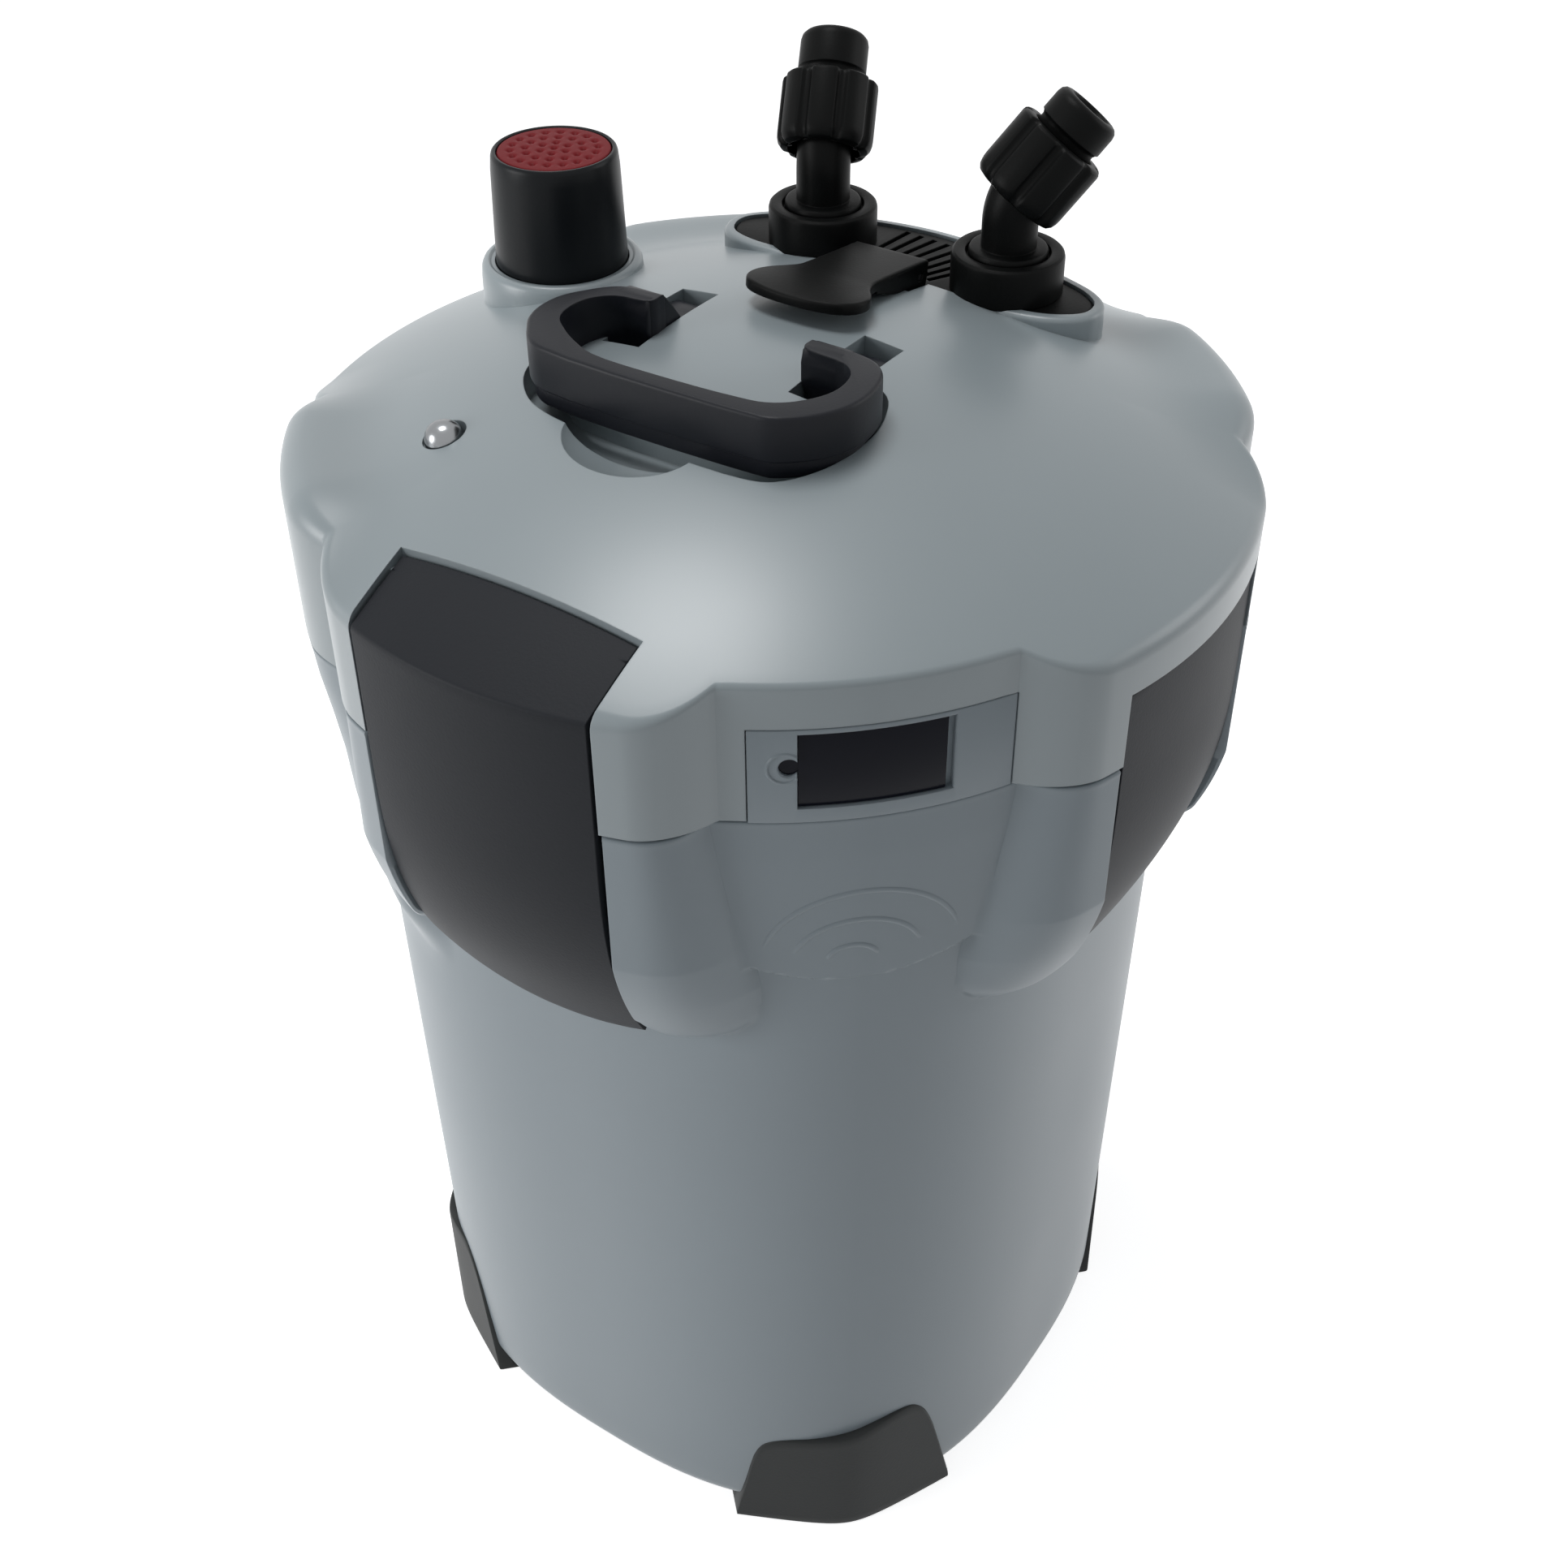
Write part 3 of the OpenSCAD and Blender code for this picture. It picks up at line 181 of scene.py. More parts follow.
def clean(obj):
    """Welds points that coincide, splits faces of many corners and turns all faces outwards."""
    bm = bmesh.new()
    bm.from_mesh(obj.data)
    bmesh.ops.remove_doubles(bm, verts=bm.verts, dist=WELD)
    bmesh.ops.triangulate(bm, faces=[f for f in bm.faces if len(f.verts) > 4])
    bmesh.ops.recalc_face_normals(bm, faces=bm.faces)
    bm.to_mesh(obj.data)
    bm.free()


def inset(outline, d):
    """A counter-clockwise outline drawn in by d along the bisectors of its corners."""
    p = np.array(outline, float)
    a = p - np.roll(p, 1, 0)
    b = np.roll(p, -1, 0) - p
    a /= np.linalg.norm(a, axis=1)[:, None]
    b /= np.linalg.norm(b, axis=1)[:, None]
    na = np.stack([a[:, 1], -a[:, 0]], 1)
    nb = np.stack([b[:, 1], -b[:, 0]], 1)
    m = na + nb
    m /= np.linalg.norm(m, axis=1)[:, None]
    return p - m * (d / np.maximum(0.5, (m * na).sum(1)))[:, None]


def curve(points, steps=6, closed=True):
    """A smooth curve through points that doesn't swing out where short and long spans meet."""
    p = np.array(points, float)
    n = len(p)
    out = []
    for i in range(n if closed else n - 1):
        if closed:
            before, start, end, after = (p[(i + k) % n] for k in (-1, 0, 1, 2))
        else:
            before, start, end, after = (p[min(max(i + k, 0), n - 1)] for k in (-1, 0, 1, 2))
        d0, d1, d2 = (max(1e-4, np.linalg.norm(v)) ** 0.5 for v in (start - before, end - start, after - end))
        leave = (start - before) / d0 - (end - before) / (d0 + d1) + (end - start) / d1
        arrive = (end - start) / d1 - (after - start) / (d1 + d2) + (after - end) / d2
        for t in np.linspace(0, 1, steps, False):
            out.append((2 * t ** 3 - 3 * t ** 2 + 1) * start + (t ** 3 - 2 * t ** 2 + t) * leave * d1
                       + (3 * t ** 2 - 2 * t ** 3) * end + (t ** 3 - t ** 2) * arrive * d1)
    if not closed:
        out.append(p[-1])
    return np.array(out)


def prism(name, outline, z0, z1, top=0.0, bottom=0.0):
    """An upright prism on an outline, with rounded top and bottom edges."""
    steps = 4
    rows = []
    for i in range(steps + 1 if bottom else 1):
        a = pi / 2 * i / steps
        rows.append((bottom * (1 - sin(a)), z0 + bottom * (1 - cos(a))))
    for i in range(steps + 1 if top else 1):
        a = pi / 2 * i / steps
        rows.append((top * (1 - cos(a)), z1 - top * (1 - sin(a))))
    return new_object(name, *loft([[(x, y, z) for x, y in inset(outline, d)] for d, z in rows]))


def box(name, x0, x1, y0, y1, z0, z1, turn=0.0):
    """A block, then turned about Z. The two ends of x and of y may come in either order."""
    x0, x1 = sorted((x0, x1))
    y0, y1 = sorted((y0, y1))
    return turn_about_z(prism(name, [(x0, y0), (x1, y0), (x1, y1), (x0, y1)], z0, z1), turn)


def rod(name, radius, start, end, count=48):
    """A cylinder between two points, for pins, knuckles and cutters."""
    start = Vector(start)
    axis = Vector(end) - start
    obj = turned(name, [(radius, 0), (radius, axis.length)], count)
    return aim(obj, axis, start)


def aim(obj, axis, start):
    """Turns a piece made along Z from the origin to another axis and moves it to its start."""
    obj.data.transform(shift(*start) @ axis.to_track_quat("Z", "Y").to_matrix().to_4x4())
    return obj


def face(obj, angle, r, z):
    """Moves a piece made along Z to a place on the body, facing outwards."""
    return aim(obj, Vector(radial(angle, 1, 0)), Vector(radial(angle, r, z)))


def rotation(angle, axis):
    """A turn by degrees about an axis through the origin."""
    return Matrix.Rotation(radians(angle), 4, axis)


def shift(x, y, z):
    """A move by millimetres."""
    return Matrix.Translation(Vector((x, y, z)) * MM)


def turn_about_z(obj, angle):
    obj.data.transform(rotation(angle, "Z"))
    return obj


def move(obj, x, y, z=0.0):
    obj.data.transform(shift(x, y, z))
    return obj


def on_side(obj):
    """Lays a prism drawn in (y, z) on its side, so that its height runs along X."""
    obj.data.transform(Matrix(((0, 0, 1, 0), (1, 0, 0, 0), (0, 1, 0, 0), (0, 0, 0, 1))))
    return obj


def on_arm(obj, side):
    """Moves a piece made along Z from the origin to the tilted arm of a hose connector."""
    obj.data.transform(shift(*PORTS[side], BEND_Z) @ rotation(ARM[side], "Z") @ rotation(BEND, "Y"))
    return obj


def arc_block(name, r0, r1, t0, t1, z0, z1, edge):
    """A block bent round the Z axis, with its outer upper and lower edges eased."""
    profile = [(r0, z0), (r1 - edge, z0), (r1 - 0.3 * edge, z0 + 0.3 * edge), (r1, z0 + edge),
               (r1, z1 - edge), (r1 - 0.3 * edge, z1 - 0.3 * edge), (r1 - edge, z1), (r0, z1)]
    rings = []
    for t in np.linspace(radians(t0), radians(t1), 40):
        rings.append([(r * cos(t), r * sin(t), z) for r, z in profile])
    return new_object(name, *loft(rings))


def combine(target, parts, operation="DIFFERENCE", sharp=32):
    """Applies boolean modifiers to target and deletes the parts."""
    for part in parts:
        mod = target.modifiers.new("combine", "BOOLEAN")
        mod.object = part
        mod.operation = operation
        mod.solver = "MANIFOLD"
        graph = bpy.context.evaluated_depsgraph_get()
        result = bpy.data.meshes.new_from_object(target.evaluated_get(graph))
        target.modifiers.clear()
        target.data = result
        bpy.data.objects.remove(part)
    smooth(target, sharp)
    return target


def fuse(name, parts, sharp=32):
    """One closed object from several that overlap."""
    first = combine(parts[0], parts[1:], "UNION", sharp)
    first.name = name
    return first


# ---------- shapes of the body ----------
def unit(t):
    """A value kept between 0 and 1."""
    return min(1.0, max(0.0, t))


def ease(t):
    """A smooth step from 0 to 1."""
    t = unit(t)
    return t * t * (3 - 2 * t)


def square_r(t, a):
    """Plan radius of the rounded square of half width a at an angle in degrees."""
    power = 2.6
    c = abs(cos(radians(t)))
    s = abs(sin(radians(t)))
    return a / (c ** power + s ** power) ** (1 / power)


def barrel_at(z):
    """Half width of the barrel's rounded square, which widens upwards."""
    return 112.3 + 0.0125 * z


def lobe_at(z):
    """Radius of the body's lobes, which draw in below a height."""
    straight_from = 310
    return LOBE_R if z >= straight_from else LOBE_R - 18 * ((straight_from - z) / 75) ** 2.6


def fold(t):
    """Angle to the middle of the nearest latch, from 0 to 45 degrees."""
    m = t % 90
    return 90 - m if m > 45 else m


def in_front(t):
    """Whether an angle lies in the front corner, which holds the panel."""
    return (t % 360) > 270


def shoulder_rise(f):
    """How far a corner has swelled from its crease, from 0 to 1."""
    return sin(pi / 2 * unit((f - CREASE) / 8))


def head_plan(t):
    """Plan radius of the head at an angle."""
    f = fold(t)
    crease = CREASE_R if in_front(t) else SHALLOW_R
    if f <= LOBE_FLAT:
        return LOBE_R
    if f <= CREASE:
        return crease + (LOBE_R - crease) * (1 - ((f - LOBE_FLAT) / (CREASE - LOBE_FLAT)) ** 1.8)
    if in_front(t):
        return CREASE_R - 0.2 * ease((f - CREASE) / 2)
    return crease + (CORNER_R - crease) * shoulder_rise(f)


def dome_z(r):
    """Height of the dome's sphere over a radius."""
    return DOME_C + sqrt(DOME_R ** 2 - r ** 2)


def head_side(radius, roll, centre, lean):
    """The head's upright side with an eased foot, and the round that rolls over to its top."""
    ease_in, ease_up = 0.7, 0.6
    rows = [(radius - ease_in, HEAD_Z), (radius, HEAD_Z + ease_up)]
    rows += [(radius, z) for z in np.linspace(HEAD_Z + ease_up, centre, 8)[1:-1]]
    for a in np.linspace(0, lean, 12):
        rows.append((radius - roll + roll * cos(a), centre + roll * sin(a)))
    return rows


def top_radii(start):
    """Radii from the end of a side inwards, to the fan that closes the top."""
    return np.linspace(start, 3, 44)[1:]


def lobe_profile(radius, edge):
    """Side and top of the head where the dome falls to a rounded edge."""
    centre = DOME_C + sqrt((DOME_R - edge) ** 2 - (radius - edge) ** 2)
    rows = head_side(radius, edge, centre, atan2(centre - DOME_C, radius - edge))
    rows += [(r, dome_z(r)) for r in top_radii(rows[-1][0])]
    return np.array(rows)


def corner_profile(radius, high, roll):
    """Side and top of the head where a raised shoulder stands above the dome."""
    rows = head_side(radius, roll, high - roll, radians(84))
    r_end, z_end = rows[-1]
    for r in top_radii(r_end):
        t = ease((r_end - r) / 34)
        flat = z_end + 0.105 * (r_end - r)
        rows.append((r, flat * (1 - t) + dome_z(r) * t))
    return np.array(rows)


def angles():
    """Angles round the body, closer together beside the latches and creases."""
    half = [*np.arange(0, 14, 1.5), *np.arange(14, 36, 0.4), *np.arange(36, 45, 1.5)]
    quarter = [-a for a in reversed(half[1:])] + half
    out = []
    for k in range(4):
        out += [90 * k + a for a in quarter]
        out.append(90 * k + 45.0)
    return sorted(set(round(a % 360, 4) for a in out))


def head_rows(t):
    """Rows of (radius, height) up the head's side and over its top at an angle."""
    f = fold(t)
    radius = head_plan(t)
    edge = 6.0 - 3.8 * ease((f - 15) / 12)
    rows = lobe_profile(radius, edge)
    if f > SHOULDER_FROM and not in_front(t):
        w = ease((f - SHOULDER_FROM) / 20)
        rows = rows * (1 - w) + corner_profile(radius, SHOULDER_Z, 8.5) * w
    return rows


def make_head():
    """The cover's skin: strips from its foot to its top at every angle, closed by two fans."""
    strips = [[radial(t, r, z) for r, z in head_rows(t)] for t in angles()]
    n = len(strips[0])
    m = len(strips)
    verts = [p for strip in strips for p in strip]
    faces = []
    for i in range(m):
        k = (i + 1) % m
        for j in range(n - 1):
            faces.append((i * n + j, k * n + j, k * n + j + 1, i * n + j + 1))
    top = len(verts)
    verts.append((0, 0, DOME_C + DOME_R))
    bottom = len(verts)
    verts.append((0, 0, HEAD_Z))
    for i in range(m):
        k = (i + 1) % m
        faces.append((i * n + n - 1, k * n + n - 1, top))
        faces.append((k * n, i * n, bottom))
    return new_object("head_cover_shell", verts, faces)


# Outline of the black plate, the trough round the handle and the handle itself
PLATE = [(-50, 63), (-31, 62.7), (0, 62.8), (30, 63.6), (41, 64), (52, 66.5), (59.6, 72.5), (59.4, 79),
         (54.7, 83.8), (46.6, 87.6), (26, 93.8), (1.6, 96.6), (-13.5, 96.1), (-34, 91.4), (-56, 81),
         (-61, 74), (-58.5, 66.5)]
TROUGH = [(-20.8, -62), (0, -62.2), (31, -59.6), (39, -56), (46.6, -45), (49.6, -30), (47.6, -17), (41, -8),
          (-45, -8), (-51.6, -17), (-54.4, -30), (-52.4, -43), (-46.6, -51), (-38, -57.2)]
ISLAND = [(-26, -48.6), (18, -48.6), (31, -45.4), (39.6, -36), (40.4, -27), (36, -21.4),
          (-40, -21.4), (-44.4, -28), (-43.6, -36), (-35.4, -45.4)]
LOOP_OUT = [(-36, -55.5), (31, -55.5), (36.5, -54.6), (41.5, -51), (46.5, -45.6), (49.8, -39), (50.8, -32),
            (49.8, -24.6), (47.6, -18.8), (43.5, -14.6), (38, -12.6), (30, -12.2), (-36, -12.2), (-42, -14.4),
            (-48, -21.5), (-51.4, -28), (-52.2, -35), (-50.6, -42), (-47.2, -47.2), (-42.5, -52.4)]
LOOP_IN = [(-22, -51), (0.4, -51.3), (21.4, -50), (31, -48.3), (37.3, -43.6), (41.8, -36), (42.4, -29),
           (40.4, -23), (36, -19.6), (22.4, -17.4), (21.9, -12), (21.9, -4), (-27.5, -4), (-27.5, -12),
           (-28, -17.4), (-38, -19.8), (-43, -25), (-44.4, -32), (-42.6, -38.6), (-37, -43.6), (-30.3, -47.7)]
# Cutters start at a depth and run out past the head's side and over its top
PAST = 170
OVER = 420


def cut_latch_slots():
    """The openings that take the latches; the front one also has a recess for the latch's flap."""
    cuts = [box("cut", RECESS, PAST, -SLOT, SLOT, 300, SIDE_TOP + 0.5, 90 * k) for k in (0, 1, 2)]
    cuts.append(box("cut", RECESS, PAST, -SLOT, SLOT, 300, OVER, -90))
    cuts.append(box("cut", FLAP_X - 0.6, PAST, -SLOT, SLOT, FLAP_Z - 0.4, OVER, -90))
    return cuts


def cut_trough():
    """The trough under the handle, round a raised middle, with a pocket for each leg and a scoop."""
    bottom, pocket_half = 374, LEG_HALF + 0.4
    trough = prism("cut", curve(TROUGH, 5), bottom, OVER)
    bridge = box("cut", LEGS[0] + pocket_half, LEGS[1] - pocket_half, -30, 0, 370, 430)
    combine(trough, [prism("cut", curve(ISLAND, 5), 370, 430), bridge])
    cuts = [trough]
    cuts += [box("cut", x - pocket_half, x + pocket_half, -24, 14, bottom, OVER) for x in LEGS]
    scoop = turned("cut", [(sin(a) + 1e-4, -cos(a)) for a in np.linspace(0, pi, 24)], 64)
    scoop.data.transform(Matrix.Diagonal((21, 18, 9, 1)))
    move(scoop, -4, -59, 386.4)
    return cuts + [scoop]


def cut_panel_seat():
    """The seat of the panel in the front corner, wider and higher than the panel by a small gap."""
    gap = 0.15
    ends = np.linspace(PANEL[0] - gap, PANEL[1] + gap, 24)
    back = [(t, PANEL_BACK - 0.1) for t in ends[::-1]]
    front = [(t, 150.0) for t in ends]
    levels = (300, PANEL_TOP + gap)
    return new_object("cut", *loft([[radial(t, r, z) for t, r in back + front] for z in levels]))


def cut_head(head):
    """The openings and recesses of the head."""
    cutters = cut_latch_slots() + cut_trough()
    cutters.append(prism("cut", inset(curve(PLATE, 5), -0.35), 376, OVER))
    cutters.append(box("cut", -13.5, 13.5, 51, 70, 376, OVER))
    cutters.append(rod("cut", 20.3, (*KNOB, 324), (*KNOB, 430), 96))
    cutters.append(rod("cut", 6.1, (*SCREW, 373.0), (*SCREW, 400)))
    cutters.append(cut_panel_seat())
    return combine(head, cutters)


def make_knob_socket():
    """The raised ring of the cover round the knob."""
    profile = [(25.0, 350), (24.6, 380), (24.3, 383.2), (23.7, 384.4), (22.9, 384.9), (22.2, 385),
               (21.7, 384.7), (21.4, 384.4)]
    return move(turned("knob_socket", profile, 96), *KNOB)


def make_cover():
    """The whole light grey cover, with the raised surround of the black plate."""
    cover = make_head()
    surround = prism("plate_surround", inset(curve(PLATE, 5), -3.4), 365, 383.6, top=1.6)
    combine(cover, [make_knob_socket(), surround], "UNION")
    cut_head(cover)
    cover.name = "head_cover_shell"
    return cover


# ---------- barrel ----------
def pod_end(t):
    """Height of a pod's rounded lower end at an angle from the latch's middle."""
    middle, lowest, rise = 22.5, 239, 17
    u = (t - middle) / (10.0 if t > middle else 6.5)
    return lowest + rise * (1 - sqrt(1 - unit(u * u)))


def crease_at(z):
    """Angle of a pod's edge at a height. The pods widen towards their lower ends."""
    return CREASE + 4.4 * unit((319 - z) / 58)


def skirt_low(t):
    """Height of the front skirt's rounded lower edge."""
    u = (t % 360 - 360 + 45.6) / 12.5
    return 262 + 4.5 * u * u


# Radius of the three plain corners' skirt over its heights
SKIRT_Z = (212, 232, 248, 264, 281, 297, 310, 321)
SKIRT_R = (125.0, 127.6, 130.2, 131.9, 132.8, 134.6, 136.4, 137.3)


def skirt_r(t, z):
    """Radius of the raised skirt under a corner, or 0 where there is none."""
    f = fold(t)
    if f < LOBE_FLAT + 1:
        return 0.0
    if in_front(t):
        step = 0.3
        slope = (skirt_low(t + step) - skirt_low(t - step)) / (2 * step * radians(CREASE_R))
        rise = (z - skirt_low(t)) / (2.4 * hypot(1, slope))
        return (125.6 + 1.7 * unit((z - 258) / 50)) * ease(rise)
    if z < SKIRT_Z[0]:
        return 0.0
    plain = square_r(t, barrel_at(z))
    full = float(np.interp(z, SKIRT_Z, SKIRT_R))
    shallow = min(full, SHALLOW_R - 1)
    full = shallow + (full - shallow) * shoulder_rise(f)
    return plain + (full - plain) * ease((f - LOBE_FLAT - 1) / 8) * ease((z - SKIRT_Z[0]) / 24)


def body_r(t, z):
    """Outer radius of the barrel outside the latch slots."""
    f = fold(t)
    pod = square_r(t, barrel_at(z))
    edge = crease_at(z)
    top = min(LOBE_R, lobe_at(z) + 2.2)
    if f <= edge and top > pod:
        side = 1 - max(0.0, (f - LOBE_FLAT) / (edge - LOBE_FLAT)) ** 2.4
        v = unit((z - pod_end(f)) / 7.0)
        pod += (top - pod) * side * sqrt(1 - (1 - v) ** 2)
    return max(pod, skirt_r(t, z))


def barrel_ring(z, lift=0.0):
    """One level of the barrel's skin, going round from the middle of the right latch."""
    ring = []
    for k in range(4):
        middle = 90 * k
        quarter = []
        for y in np.linspace(0, SLOT, 10)[:-1]:
            t = degrees(atan2(y, 114.5))
            quarter.append((t, square_r(t, barrel_at(z)) - lift))
        t_in = degrees(atan2(SLOT, 113.9))
        r_in = square_r(t_in, barrel_at(z)) - lift
        t_out = degrees(asin(SLOT / max(body_r(middle + 17.5, z), 118)))
        r_out = body_r(middle + t_out, z) - lift
        for w in (0, 0.25, 0.5, 0.75, 0.94):
            quarter.append((t_in + (t_out - t_in) * w, r_in + (r_out - r_in) * w))
        slot_points = len(quarter)
        edge = crease_at(z)
        for t in (*np.linspace(t_out + 0.35, edge, 24), *np.linspace(edge + 0.35, 44.4, 22)):
            quarter.append((t, body_r(middle + t, z) - lift))
        # the slot is alike on both sides of a latch, while the corners beyond it differ
        mirrored = []
        for i, (t, r) in enumerate(quarter[1:], 1):
            mirrored.append((-t, r if i < slot_points else body_r(middle - t, z) - lift))
        ring += [(middle + t, r) for t, r in reversed(mirrored)]
        ring += [(middle + t, r) for t, r in quarter]
        ring.append((middle + 45.0, body_r(middle + 45.0, z) - lift))
    return [radial(t, r, z) for t, r in ring]


def barrel_levels():
    """Heights of the outer skin and how far each is drawn in, from the rounded bottom to the rim."""
    bottom, roll = 5, 9
    levels = []
    for a in np.linspace(0, pi / 2, 8):
        levels.append((bottom + roll * (1 - cos(a)), roll * (1 - sin(a))))
    upright = [*np.linspace(14, 216, 24)[1:], *np.arange(218, 257, 1.2), *np.arange(257, 280, 0.6),
               *np.arange(280, 320.2, 1.2)]
    levels += [(z, 0.0) for z in upright]
    return levels + [(320.3, -0.1), (320.7, 0.0), (320.9, 0.2), (SEAM, 0.6)]


def make_ears():
    """The ears that hold the latches' pins."""
    x, z = PIVOT
    ears = []
    for k in range(4):
        for s in (-1, 1):
            near, far = [s * y for y in PIN_EAR]
            ear = rod("ear", KNUCKLE_R, (x, near, z), (x, far, z), 32)
            combine(ear, [box("web", 112, x, near, far, z - KNUCKLE_R, z + KNUCKLE_R)], "UNION")
            ears.append(turn_about_z(ear, 90 * k))
    return ears


def make_barrel():
    """The barrel: its skin goes up the outside, over the rim and down the inside."""
    rings = [barrel_ring(z, lift) for z, lift in barrel_levels()]
    turns = [atan2(y, x) for x, y, _ in rings[-1]]
    for z in (SEAM, 304.0):
        rings.append([(MOUTH_R * cos(t), MOUTH_R * sin(t), z) for t in turns])
    for z in np.linspace(303.0, BARREL_FLOOR, 8):
        radii = [square_r(degrees(t), barrel_at(z)) - WALL for t in turns]
        rings.append([(r * cos(t), r * sin(t), z) for r, t in zip(radii, turns)])
    skin = new_object("barrel_shell", *loft(rings), 40)
    return fuse("barrel_shell", [skin] + make_ears() + make_ripples(), 40)


# ---------- feet ----------
FOOT_EDGE = [(-38, 3), (-34.5, 21), (-31, 39), (-28, 44.6), (-23, 47.2), (-12, 48.6), (0, 50.6), (10, 54.0),
             (17, 55.8), (21.5, 55.6), (25.5, 51.6), (29, 43), (33.5, 24), (38, 3)]
FOOT_HALF = 38
FOOT_X = 125.2
FOOT_NAMES = ("front_right", "back_right", "back_left", "front_left")


def barrel_x(w, z):
    """Distance of the barrel's skin from the axis along a diagonal, at a width beside it."""
    r = 118.0
    for _ in range(3):
        r = square_r(45 + degrees(asin(w / r)), barrel_at(z))
    return sqrt(r * r - w * w)


def make_foot(k):
    """A corner foot: columns from its seat in the barrel, under and up its bulged outer face."""
    edge = curve(FOOT_EDGE, 6, closed=False)
    columns = []
    for w in np.linspace(-FOOT_HALF, FOOT_HALF, 62):
        top = float(np.interp(w, edge[:, 0], edge[:, 1]))
        x_out = FOOT_X - 0.37 * (hypot(w, 10) - 10)
        seat = barrel_x(w, top)
        column = [(seat - 9, 0.0), (x_out - 0.9, 0.0), (x_out - 0.25, 0.25), (x_out, 0.9)]
        column += [(x_out, 0.9 + (top - 2.1) * f) for f in np.linspace(0.06, 0.94, 12)]
        column += [(x_out, top - 1.2), (x_out - 0.3, top - 0.4), (x_out - 1.0, top), (seat - 0.4, top)]
        column += [(seat - 3, top - 0.5), (seat - 3, min(5.5, top * 0.6)), (seat - 9, min(4.9, top * 0.5))]
        columns.append([(x, w, z) for x, z in column])
    return turn_about_z(new_object("foot_" + FOOT_NAMES[k] + "_pad", *loft(columns)), 90 * k - 45)


# ---------- front corner ----------
def make_panel():
    """The insert in the front corner with its window recess and a countersunk finger notch."""
    panel = arc_block("badge_panel_shell", PANEL_BACK, CREASE_R + 0.05, *PANEL, SEAM + 0.4, PANEL_TOP, 0.3)
    raised = [(4.0, -1), (4.0, 0.25), (4.2, 0.5), (4.6, 0.5), (4.9, 0.2), (5.0, -1)]
    ring = turned("ring", raised, 64, closed=True)
    face(ring, NOTCH[0] - 0.5, CREASE_R - 0.15, NOTCH[1])
    combine(panel, [ring], "UNION")
    recess = arc_block("cut", 125.9, 140, *WINDOW, 325.8, 348.7, 0.0)
    notch = turned("cut", [(2.6, -3), (2.6, 2.0), (3.1, 2.7), (3.1, 6)], 64)
    face(notch, NOTCH[0], 125.6, NOTCH[1])
    return combine(panel, [recess, notch])


def make_window():
    """The dark blank window, with a dark disc set in the notch's hole as painted shade of the hole."""
    glass = arc_block("window", 126.0, 127.35, WINDOW[0] + 0.1, WINDOW[1] - 0.9, 326.1, 348.4, 0.35)
    # A dark disc at the bottom of the notch's hole: painted shade that darkens the hole.
    notch_shade_disc = face(rod("notch_shade_disc", 2.5, (0, 0, 0), (0, 0, 1.6), 40), NOTCH[0], 125.4, NOTCH[1])
    return fuse("front_window_glass", [glass, notch_shade_disc])


# The skirt's three arcs: angle of the middle, height of the ends, half width and rise
RIPPLES = ((-45.4, 271.0, 27.5, 25.0), (-46.0, 272.0, 17.5, 14.0), (-46.6, 271.5, 7.0, 5.5))


def make_ripples():
    """Three concentric raised arcs on the skirt under the front corner."""
    high, half = 0.5, 0.9
    parts = []
    for middle, height, wide, tall in RIPPLES:
        path = []
        for a in np.linspace(radians(12), radians(168), 48):
            t = middle + degrees(wide * cos(a) / 127.0)
            z = height + tall * sin(a)
            path.append(Vector(radial(t, body_r(t, z) - 0.15, z)))
        last = len(path) - 1
        rings = []
        for i, p in enumerate(path):
            along = (path[min(i + 1, last)] - path[max(i - 1, 0)]).normalized()
            out = Vector((p.x, p.y, 0)).normalized()
            side = along.cross(out).normalized()
            grow = sqrt(max(0.05, 1 - (2 * i / last - 1) ** 6))
            rings.append([tuple(p + out * high * grow * sin(b) + side * half * grow * cos(b))
                          for b in around(10)])
        parts.append(new_object("ripple", *loft(rings)))
    return parts


# ---------- latches ----------
def latch_section(front, y, inner):
    """A latch at one y on the +X side, as a closed ring of (x, z); the inner one is its hollow."""
    arc, bulge = (LOBE_R, LOBE_R) if front else (SIDE_ARC, SIDE_BULGE)
    wall = LATCH_T if inner else 0.0

    def outside(z):
        return sqrt(arc ** 2 - y * y) - arc + bulge - (LOBE_R - lobe_at(z)) - wall

    def roof(x):
        return dome_z(hypot(x, y)) - 1.5 - wall if front else SIDE_TOP - wall

    pivot_x, pivot_z = PIVOT
    under = pivot_z - 2.2
    if inner:
        start = CHEEK_X - 3
        low = 249.0
    else:
        start = FLAP_X if front else CHEEK_X + 0.2
        low = LATCH_LOW + LOW_ARC - sqrt(LOW_ARC ** 2 - y * y)
        # the lower end rises until the slope from it to the pivot clears the barrel in the swing
        while outside(low) - 0.6 < pivot_x + 1.5 + 0.6 * (under - low):
            low += 0.2
    x_top = outside(340.0)
    r = 1.0
    ring = [(start, roof(start) - (0 if inner else 0.4))]
    ring += [(x, roof(x)) for x in np.linspace(start + 0.4, x_top - r, 12)]
    for a in np.linspace(0, pi / 2, 5)[1:]:
        ring.append((x_top - r + r * sin(a), roof(x_top - r) - r * (1 - cos(a)) - 0.3 * sin(a)))
    z_top = ring[-1][1]
    ring += [(outside(z), z) for z in z_top + (low + 0.7 - z_top) * np.linspace(0, 1, 48)[1:]]
    edge = outside(low)
    if inner:
        return ring + [(edge - 1, low), (start, low)]
    ring += [(edge - 0.2, low + 0.2), (edge - 0.5, low), (pivot_x + 1.6, max(under, low + 0.3)),
             (CHEEK_X, max(pivot_z, low + 0.8)), (CHEEK_X, 247)]
    if front:
        ring += [(CHEEK_X, FLAP_Z), (FLAP_X, FLAP_Z)]
    return ring


